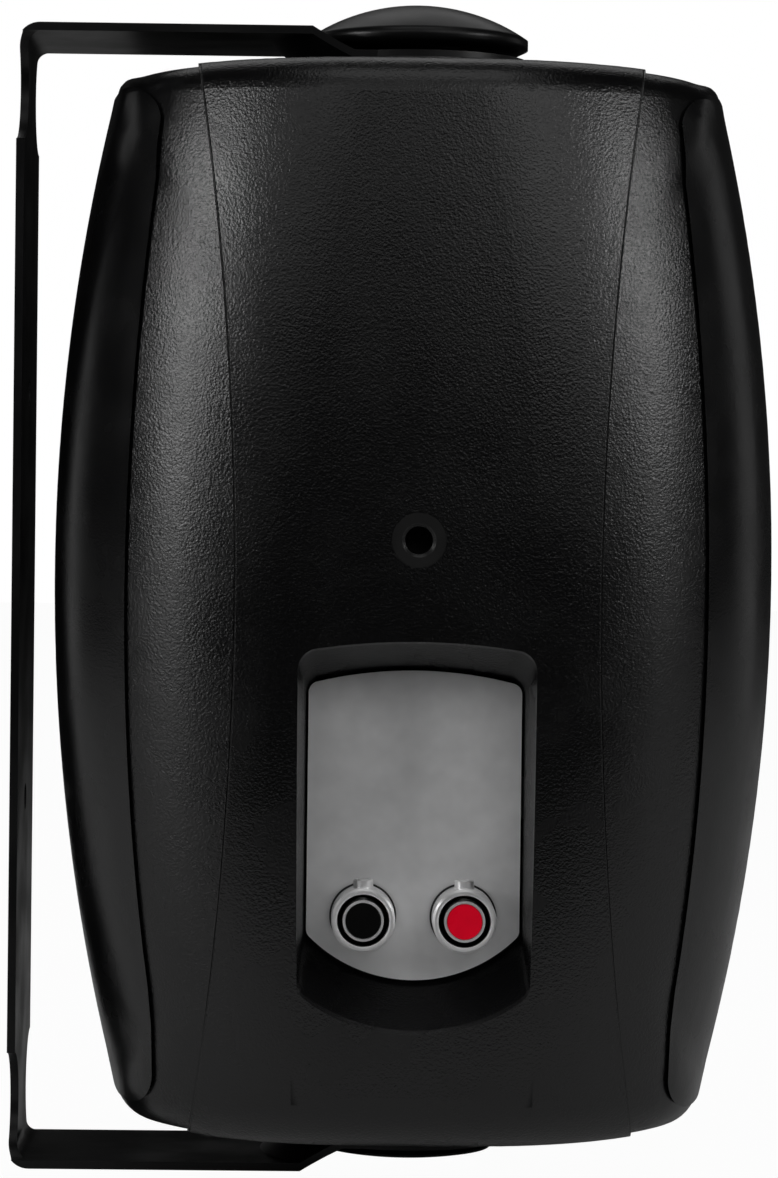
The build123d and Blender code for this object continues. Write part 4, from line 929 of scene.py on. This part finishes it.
@dataclass
class Grille:
    """Perforated steel grille: a bowed face with round holes in staggered rows, folded back at its edge."""

    barrel: ShownBarrel
    inset: float = 4.1 * MM
    edge_round: float = 2 * MM
    sheet: float = 1 * MM
    bow_radius: float = 600 * MM
    pitch: float = 4.2 * MM
    hole_radius: float = 1.35 * MM
    hole_sides: int = 10
    margin: float = 4.2 * MM
    fold_steps: int = 6
    over_edge: float = 0.01 * MM
    box: tuple[Vector, Vector] = field(default_factory=lambda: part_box("grille"))

    @property
    def face_y(self) -> float:
        """Depth of the bowed face on the cabinet's middle line."""
        return self.box[0].y

    def bow(self, x: float) -> float:
        """Return how far the face has curved back at x."""
        reach = x - self.barrel.centre_x
        return self.bow_radius - math.sqrt(self.bow_radius**2 - reach**2)

    def recipe(self) -> Recipe:
        """Return the tree that fills the outline, leaves the holes open, and bows and thickens the sheet."""
        tree = Recipe("grille_perforations")
        pitch, hole, margin = tree.size("Pitch"), tree.size("Hole Radius"), tree.size("Margin")
        sheet, bow, face = tree.size("Sheet"), tree.size("Bow Radius"), tree.size("Face Depth")
        middle, width, height = tree.size("Middle"), tree.size("Width"), tree.size("Height")
        row = tree.math("MULTIPLY", pitch, math.sqrt(3) / 2)
        columns = tree.math("ADD", tree.math("FLOOR", tree.math("DIVIDE", width, pitch)), 1.0)
        rows = tree.math("ADD", tree.math("FLOOR", tree.math("DIVIDE", height, row)), 1.0)
        span = tree.math("MULTIPLY", tree.math("SUBTRACT", columns, 1.0), pitch)
        rise = tree.math("MULTIPLY", tree.math("SUBTRACT", rows, 1.0), row)
        grid = tree.add("MeshGrid", {0: span, 1: rise, 2: columns, 3: rows}).outputs[0]
        place = tree.position()
        above_foot = tree.math("ADD", place[1], tree.math("MULTIPLY", rise, 0.5))
        number = tree.math("ROUND", tree.math("DIVIDE", above_foot, row))
        odd = tree.math("MODULO", number, 2.0)
        shift = tree.math("ADD", middle, tree.math("MULTIPLY", odd, tree.math("MULTIPLY", pitch, 0.5)))
        points = tree.add("SetPosition", {"Geometry": grid, "Offset": tree.vector(shift)}).outputs[0]
        border = tree.add("CurveToMesh", {0: tree.carried}).outputs[0]
        inside = tree.add("FillCurve", {0: tree.carried}).outputs[0]
        by_border = tree.compare("LESS_THAN", tree.distance(border, "EDGES"), margin)
        outside = tree.compare("GREATER_THAN", tree.distance(inside, "FACES"), self.over_edge)
        drop = tree.logic("OR", by_border, outside)
        kept = tree.add("DeleteGeometry", {"Geometry": points, "Selection": drop}, domain="POINT").outputs[0]
        ring = tree.add("CurvePrimitiveCircle", {"Resolution": self.hole_sides, "Radius": hole}).outputs[0]
        rings = tree.add("InstanceOnPoints", {"Points": kept, "Instance": ring}).outputs[0]
        curves = tree.joined(tree.add("RealizeInstances", {0: rings}).outputs[0], tree.carried)
        flat = tree.add("FillCurve", {0: curves}).outputs[0]
        flat_place = tree.position()
        reach = tree.math("SUBTRACT", flat_place[0], middle)
        depth = tree.math("SUBTRACT", tree.math("MULTIPLY", bow, bow), tree.math("MULTIPLY", reach, reach))
        back = tree.math("ADD", face, tree.math("SUBTRACT", bow, tree.math("SQRT", depth)))
        stood = tree.vector(flat_place[0], back, flat_place[1])
        skin = tree.add("SetPosition", {"Geometry": flat, "Position": stood}).outputs[0]
        thick = tree.add("ExtrudeMesh", {"Mesh": skin, "Offset": tree.vector(0.0, 1.0, 0.0),
                                         "Offset Scale": sheet, "Individual": False})
        stood_border = tree.add("SetPosition", {"Geometry": border, "Position": stood}).outputs[0]
        at_rim = tree.compare("LESS_THAN", tree.distance(stood_border, "EDGES"), margin)
        wall = tree.logic("AND", thick.outputs["Side"], at_rim)
        open_rim = tree.add("DeleteGeometry", {"Geometry": thick.outputs[0], "Selection": wall},
                            domain="FACE", mode="ONLY_FACE").outputs[0]
        front = tree.add("FlipFaces", {0: skin}).outputs[0]
        tree.close(tree.joined(front, open_rim), GRILLE.material())
        return tree

    def fold(self) -> bpy.types.Mesh:
        """Return the rounded edge and the side wall, outside and inside, as one strip round the outline."""
        back_y = self.box[1].y
        loops = []
        for skin, radius in ((0.0, self.edge_round), (self.sheet, self.edge_round - self.sheet)):
            arc = [math.pi / 2 * i / self.fold_steps for i in range(self.fold_steps + 1)]
            steps = [(radius * (1 - math.sin(t)), skin + radius * (1 - math.cos(t))) for t in arc]
            ring = []
            for drawn, deep in steps:
                outline = self.barrel.outline(self.inset + skin + drawn)
                ring.append([(x, self.face_y + self.bow(x) + deep, z) for x, z in outline])
            ring.append([(x, back_y, z) for x, _, z in ring[-1]])
            loops += ring if skin == 0.0 else ring[::-1]
        count = len(loops[0])
        faces = []
        for i in range(len(loops) - 1):
            near, far = i * count, (i + 1) * count
            for j in range(count):
                after = (j + 1) % count
                faces.append((near + j, near + after, far + after, far + j))
        mesh = bpy.data.meshes.new("grille_fold")
        mesh.from_pydata([point for loop in loops for point in loop], [], faces)
        paint(mesh, GRILLE)
        return mesh

    def build(self) -> None:
        """Make the grille and let it stand for the plain CAD tray."""
        inset = self.inset + self.edge_round
        curve = outline_curve("grille_outline", self.barrel.outline(inset))
        mesh = self.recipe().cook(curve, {
            "Pitch": self.pitch, "Hole Radius": self.hole_radius, "Margin": self.margin, "Sheet": self.sheet,
            "Bow Radius": self.bow_radius, "Face Depth": self.face_y, "Middle": self.barrel.centre_x,
            "Width": self.barrel.width, "Height": self.barrel.height})
        absorb(mesh, self.fold())
        seal(mesh)
        smooth(mesh)
        add_piece("grille_perforated", mesh, "cabinet", ["grille"])


@dataclass
class Cabinet:
    """Moulded rear shell and front baffle, with their inserts, gasket, screws and damping pad."""

    barrel: ShownBarrel
    wool_cuts: int = 26
    wool_round: float = 4 * MM
    wool_lump: float = 0.9 * MM
    wool_lump_size: float = 9 * MM

    def shaped(self, node: str, finish: Finish) -> None:
        """Carry a copy of a CAD node over to the shown barrel and let it stand for the node.

        Args:
            node: The node's name.
            finish: What the copy is made of.
        """
        mesh = copy_of(node, finish)
        for vertex in mesh.vertices:
            vertex.co.x, vertex.co.z = self.barrel.carry(vertex.co.x, vertex.co.z)
        add_piece(f"{node}_shaped", mesh, "cabinet", [node])

    def wool(self) -> None:
        """Lay the fibre pad in the room that its CAD solid holds, with soft edges and a lumpy face."""
        low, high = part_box("damping_pad")
        middle, half = (low + high) / 2, (high - low) / 2
        flat = [side - self.wool_round for side in half]
        work = bmesh.new()
        bmesh.ops.create_cube(work, size=2.0)
        bmesh.ops.subdivide_edges(work, edges=work.edges, cuts=self.wool_cuts, use_grid_fill=True)
        for vertex in work.verts:
            place = Vector(vertex.co[i] * half[i] for i in range(3))
            inner = Vector(max(-flat[i], min(flat[i], place[i])) for i in range(3))
            edge = place - inner
            if edge.length > self.wool_round:
                edge *= self.wool_round / edge.length
            lump = 0.5 + 0.5 * noise.noise((middle + place) / self.wool_lump_size)
            if edge.length > 0:
                edge *= 1 - lump * self.wool_lump / edge.length
            vertex.co = middle + inner + edge
        bmesh.ops.recalc_face_normals(work, faces=work.faces)
        mesh = bpy.data.meshes.new("damping_wool")
        work.to_mesh(mesh)
        work.free()
        paint(mesh, WOOL)
        mesh.shade_smooth()
        piece = add_piece("damping_wool", mesh, "cabinet", ["damping_pad"])

    def build(self) -> None:
        """Dress the shell and what is moulded or laid into it."""
        self.shaped("rear_shell", CABINET)
        self.shaped("front_baffle", BAFFLE)
        self.shaped("baffle_gasket", FOAM)
        dress(BLACKENED, "rear_insert")
        dress(BRASS, "top_pivot_insert", "bottom_pivot_insert")
        Screws("baffle_screws", "black_screws", BLACK_SCREW).build()
        self.wool()


@dataclass
class Mounting:
    """Steel bracket with its clamp knobs, studs and washers."""

    thread: float = 1.25 * MM
    thread_depth: float = 0.6 * MM
    thread_sides: int = 6
    thread_run_out: float = 1.5
    tip: float = 0.5 * MM
    crease: float = 35.0
    top_spread: float = 1.046
    low_spread: float = 0.81
    low_height: float = 0.25
    low_sunk: float = 2.6 * MM

    def knob(self, end: str, spread: float, height: float) -> None:
        """Make a clamp knob from a copy of its CAD node, in the photograph's proportions.

        Args:
            end: The knob that is made.
            spread: Its width, as a share of the CAD node's.
            height: Its height, as a share of the CAD node's.
        """
        low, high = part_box(f"{end}_knob")
        hub = (low + high) / 2
        hub.z = low.z if end == "top" else high.z
        mesh = copy_of(f"{end}_knob", KNOB)
        sized = Matrix.Diagonal((spread, spread, height, 1))
        mesh.transform(Matrix.Translation(hub) @ sized @ Matrix.Translation(-hub))
        seal(mesh)
        smooth(mesh)
        add_piece(f"{end}_knob_shaped", mesh, f"{end}_knob", [f"{end}_knob"])

    def stud(self, end: str) -> None:
        """Make a clamp knob's stud with its thread.

        Args:
            end: The knob that it stands in.
        """
        low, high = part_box(f"{end}_knob_stud")
        if end == "bottom":
            low = low + Vector((0, 0, self.low_sunk))
        middle, long = (low + high) / 2, high.z - low.z
        crest = (high.x - low.x) / 2
        core = crest - self.thread_depth
        point = core - self.tip
        profile = [(0, 0), (point, 0), (core, self.tip), (core, long - self.tip), (point, long), (0, long)]
        mesh = turned(f"{end}_stud", profile)
        paint(mesh, ZINC)
        ridge = Helix(f"{end}_stud_thread", core, self.thread_depth, self.thread_sides, ZINC)
        run_out = self.thread_run_out * self.thread_depth
        wound_length = long - 2 * run_out
        wound = ridge.wind(wound_length, wound_length / self.thread)
        wound.transform(Matrix.Translation((0, 0, run_out)))
        absorb(mesh, wound)
        mesh.transform(Matrix.Translation((middle.x, middle.y, low.z)))
        smooth(mesh, self.crease)
        add_piece(f"{end}_stud_threaded", mesh, f"{end}_knob", [f"{end}_knob_stud"])

    def build(self) -> None:
        """Dress the bracket and both clamps."""
        dress(PAINT, "bracket")
        self.knob("top", self.top_spread, 1.0)
        self.knob("bottom", self.low_spread, self.low_height)
        dress(NYLON, "top_washer", "bottom_washer")
        for end in ("top", "bottom"):
            self.stud(end)


@dataclass
class Terminals:
    """Brushed plate with two spring terminals, one black and one red."""

    wire: float = 0.7 * MM
    wire_sides: int = 8
    wire_crease: float = 60.0
    turns: float = 6.5
    press: float = 3 * MM
    collar_radius: float = 2.3 * MM
    collar_bore: float = 1.4 * MM
    collar_rise: float = 1.8 * MM
    collar_root: float = 0.9 * MM
    collar_edge: float = 0.3 * MM
    collar_crease: float = 35.0

    def collar(self, colour: str) -> None:
        """Stand the short wire guide on a sleeve's upper side, round the wire hole.

        Args:
            colour: The terminal that it belongs to.
        """
        low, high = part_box(f"terminal_sleeve_{colour}")
        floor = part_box(f"terminal_bush_{colour}")[1].y
        foot, top, edge = -self.collar_root, self.collar_rise, self.collar_edge
        bore, outer = self.collar_bore, self.collar_radius
        profile = [(bore, foot), (outer, foot), (outer, top - edge), (outer - edge, top), (bore, top)]
        mesh = turned(f"wire_collar_{colour}", [*profile, profile[0]])
        paint(mesh, CHROME)
        mesh.transform(Matrix.Translation(((low.x + high.x) / 2, (floor + high.y) / 2, high.z)))
        smooth(mesh, self.collar_crease)
        add_piece(f"wire_collar_{colour}", mesh, "cabinet")

    def spring(self, colour: str) -> None:
        """Wind a coil spring behind the push cap.

        Args:
            colour: The terminal that the spring belongs to.
        """
        node = f"terminal_spring_{colour}"
        low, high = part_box(node)
        middle = (low + high) / 2
        radius = (high.x - low.x - self.wire) / 2
        helix = Helix(f"spring_{colour}", radius, self.wire / 2, self.wire_sides, SPRING)
        coil = helix.wind(high.y - low.y - self.wire, self.turns)
        coil.transform(Matrix.Translation((middle.x, low.y + self.wire / 2, middle.z)) @ Facing.REAR.turn())
        smooth(coil, self.wire_crease)
        piece = add_piece(f"{node}_coil", coil, "cabinet", [node])
        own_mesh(piece)

    def build(self) -> None:
        """Dress the plate and both terminals."""
        dress(PLATE, "terminal_plate")
        for colour, inlay in (("black", INLAY_BLACK), ("red", INLAY_RED)):
            dress(BUSH, f"terminal_bush_{colour}")
            dress(SLEEVE, f"terminal_sleeve_{colour}")
            dress(CHROME, f"terminal_button_{colour}")
            dress(inlay, f"terminal_inlay_{colour}")
            self.spring(colour)
            self.collar(colour)
        dress(ZINC, "terminal_lugs", "terminal_nuts")


@dataclass
class Drivers:
    """Woofer and tweeter behind the grille."""

    crease: float = 40.0
    lip_depth: float = 3 * MM
    spider_landing: float = 33 * MM
    spider_cup: float = 6 * MM

    def bend(self, name: str, mesh: bpy.types.Mesh, node: str) -> None:
        """Shade a ring smooth and stand it in the scene in place of its CAD node.

        Args:
            name: The piece's name.
            mesh: Its mesh, in place in the row frame.
            node: The CAD node that it stands for.
        """
        smooth(mesh, self.crease)
        mesh.name = name
        piece = stand(name, mesh)
        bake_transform(piece)
        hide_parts(node)
        log.info("%s: %d faces", name, len(mesh.polygons))

    def spider(self) -> None:
        """Cup the spider back from the cone, its rim on the basket and its neck on the voice coil."""
        low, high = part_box("woofer_spider")
        middle = (low + high) / 2
        mesh = copy_of("woofer_spider", SPIDER)
        seal(mesh)
        reach = [math.hypot(vertex.co.x - middle.x, vertex.co.z - middle.z) for vertex in mesh.vertices]
        slope = self.spider_landing - min(reach)
        for vertex, distance in zip(mesh.vertices, reach):
            vertex.co.y += self.spider_cup * max(0.0, self.spider_landing - distance) / slope
        self.bend("spider_cupped", mesh, "woofer_spider")

    def surround(self) -> None:
        """Put a sealed copy of the woofer's rubber roll in place of its CAD node."""
        mesh = copy_of("woofer_surround", RUBBER)
        seal(mesh)
        self.bend("woofer_roll", mesh, "woofer_surround")

    def build(self) -> None:
        """Dress both drive units."""
        dress(BASKET, "woofer_basket")
        for node in ("woofer_screws", "tweeter_screws"):
            Screws(node, "black_screws", BLACK_SCREW).build()
        dress(STEEL, "woofer_top_plate", "woofer_yoke", "tweeter_top_plate", "tweeter_yoke")
        dress(FERRITE, "woofer_magnet", "tweeter_magnet")
        dress(CONE, "woofer_cone", "woofer_dust_cap")
        dress(RUBBER, "tweeter_suspension")
        self.surround()
        dress(BAFFLE, "woofer_trim_ring", "tweeter_faceplate")
        dress(COPPER, "woofer_voice_coil", "tweeter_voice_coil")
        self.spider()
        dress(SILK, "tweeter_dome")


@dataclass
class Crossover:
    """Crossover board with its coil, capacitors, resistor and screws."""

    screw_head: float = 1.8 * MM
    screw_shank: float = 1.4 * MM
    screw_pitch: float = 0.9 * MM

    def build(self) -> None:
        """Dress the board and what stands on it."""
        dress(LAMINATE, "crossover_board")
        Screws("crossover_screws", "zinc_steel", ZINC, self.screw_head, self.screw_shank,
               self.screw_pitch).build()
        dress(COPPER, "crossover_inductor")
        dress(FILM, "crossover_capacitors")
        dress(CERAMIC, "crossover_resistor")


@dataclass(frozen=True)
class Softbox:
    """A rectangular studio light, with its azimuth in degrees from +Y towards +X."""

    name: str
    azimuth: float
    elevation: float
    distance: float
    width: float
    height: float
    radiance: float

    def place(self, target: Vector) -> None:
        """Add the light.

        Args:
            target: The point that it faces.
        """
        turn, lift = math.radians(self.azimuth), math.radians(self.elevation)
        away = Vector((math.sin(turn) * math.cos(lift), math.cos(turn) * math.cos(lift), math.sin(lift)))
        data = bpy.data.lights.new(self.name, "AREA")
        data.shape = "RECTANGLE"
        data.size, data.size_y = self.width, self.height
        data.energy = self.radiance * math.pi * self.width * self.height
        lamp = stand(self.name, data)
        aim = away.to_track_quat("Z", "Y").to_matrix().to_4x4()
        lamp.matrix_world = Matrix.Translation(target + away * self.distance) @ aim
        lamp.visible_camera = False


SOFTBOXES = (
    Softbox("left_softbox", 61, 16, 1.4, 0.4, 0.24, 9.5),
    Softbox("left_upper", 69, 23.5, 1.4, 0.38, 0.17, 9.0),
    Softbox("left_lower", 62, 1, 1.4, 0.34, 0.48, 2.1),
    Softbox("left_panel", 32, 28, 1.6, 0.8, 0.6, 0.6),
    Softbox("right_softbox", -62, 17, 1.4, 0.34, 0.2, 9.0),
    Softbox("right_upper", -71, 22.5, 1.4, 0.34, 0.17, 8.5),
    Softbox("right_lower", -62, 1, 1.4, 0.34, 0.46, 0.6),
    Softbox("right_panel", -32, 28, 1.6, 1.0, 0.65, 1.1),
    Softbox("rear_ceiling", -6, 33, 1.6, 1.8, 0.7, 0.5),
    Softbox("top_softbox", 0, 70, 1.2, 0.9, 0.6, 0.9),
    Softbox("left_rim", 134, 12, 1.5, 0.5, 1.3, 0.35),
    Softbox("right_rim", -121, 4, 1.5, 0.45, 1.0, 0.28),
    Softbox("front_fill", 180, 50, 1.8, 1.4, 1.0, 0.6),
)


@dataclass
class Studio:
    """Pale floor, soft lights and the camera."""

    focal_pixels: float = 4037.8
    frame_height: float = 1178.0
    sensor: float = 36.0
    distance: float = 1000 * MM
    camera_x: float = 21.15 * MM
    camera_z: float = 20.7 * MM
    yaw: float = -0.0156
    pitch: float = -0.0183
    roll: float = 0.0120
    floor_half: float = 6.0
    floor_edge: float = 0.3
    floor_tone: float = 0.86
    floor_rough: float = 0.9
    floor_white: float = 0.97
    surround: float = 0.008
    backdrop: float = 0.015
    backdrop_span: tuple[float, float] = (-0.5, -0.9)

    def floor(self) -> None:
        """Lay a pale floor at the bracket's foot, nearly white to the camera."""
        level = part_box("bracket")[0].z
        half, edge = self.floor_half, self.floor_edge
        mesh = bpy.data.meshes.new("floor")
        corners = [(-half, -half, level), (half, -half, level), (half, edge, level), (-half, edge, level)]
        mesh.from_pydata(corners, [], [(0, 1, 2, 3)])
        surface = Surface("floor_paper")
        surface.set(Base_Color=(*[self.floor_tone] * 3, 1), Roughness=self.floor_rough)
        path = surface.add("ShaderNodeLightPath", {})
        glow = surface.add("ShaderNodeEmission", {"Color": (1, 1, 1, 1), "Strength": 1.0})
        seen = surface.math("MULTIPLY", path.outputs["Is Camera Ray"], self.floor_white)
        mix = surface.add("ShaderNodeMixShader", {0: seen, 1: surface.shader.outputs[0], 2: glow.outputs[0]})
        surface.links.new(mix.outputs[0], surface.nodes["Material Output"].inputs["Surface"])
        mesh.materials.append(surface.material)
        floor = stand("floor", mesh)

    def world(self) -> None:
        """Surround the object with a dark room, white to the camera, with a faint glow in reflections."""
        world = bpy.data.worlds.new("studio")
        world.use_nodes = True
        tree = Tree(world.node_tree)
        path = tree.add("ShaderNodeLightPath", {}).outputs
        direction = tree.add("ShaderNodeTexCoord", {}).outputs["Generated"]
        split = tree.add("ShaderNodeSeparateXYZ", {0: direction}).outputs
        start, end = self.backdrop_span
        behind = tree.add("ShaderNodeMapRange", {0: split["Y"], 1: start, 2: end, 3: 0.0, 4: self.backdrop})
        mirrored = tree.math("MAXIMUM", path["Is Glossy Ray"], path["Is Transmission Ray"])
        reflected = tree.math("MULTIPLY", mirrored, behind.outputs[0])
        shown = tree.math("MAXIMUM", path["Is Camera Ray"], reflected)
        background = tree.nodes["Background"]
        background.inputs["Color"].default_value = (1, 1, 1, 1)
        tree.links.new(tree.math("MAXIMUM", shown, self.surround), background.inputs["Strength"])
        bpy.context.scene.world = world

    def camera(self) -> None:
        """Stand the camera behind the cabinet, as the photograph was taken."""
        level = math.cos(self.pitch)
        forward = Vector((math.sin(self.yaw) * level, -math.cos(self.yaw) * level, math.sin(self.pitch)))
        level_right = forward.cross(Vector((0, 0, 1))).normalized()
        level_up = level_right.cross(forward)
        right = math.cos(self.roll) * level_right + math.sin(self.roll) * level_up
        up = math.cos(self.roll) * level_up - math.sin(self.roll) * level_right
        data = bpy.data.cameras.new("camera")
        data.sensor_width = self.sensor
        data.lens = self.sensor * self.focal_pixels / self.frame_height
        camera = stand("camera", data)
        turn = Matrix((right, up, -forward)).transposed().to_4x4()
        place = Vector((SWIVEL_X + self.camera_x, self.distance, self.camera_z))
        camera.matrix_world = Matrix.Translation(place) @ turn
        bpy.context.scene.camera = camera

    def build(self) -> None:
        """Set up the whole studio."""
        self.floor()
        self.world()
        self.camera()
        for softbox in SOFTBOXES:
            softbox.place(Vector((SWIVEL_X, 0, 0)))
        bpy.context.scene.view_settings.view_transform = "Standard"
        log.info("studio set up")


def main() -> None:
    """Build every sub-assembly in order, then the studio."""
    logging.basicConfig(level=logging.INFO, format="%(name)s: %(message)s")
    barrel = ShownBarrel()
    for assembly in (Cabinet(barrel), Mounting(), Terminals(), Drivers(), Crossover(), Studio()):
        assembly.build()
    Grille(barrel).build()


if __name__ == "__main__":
    main()
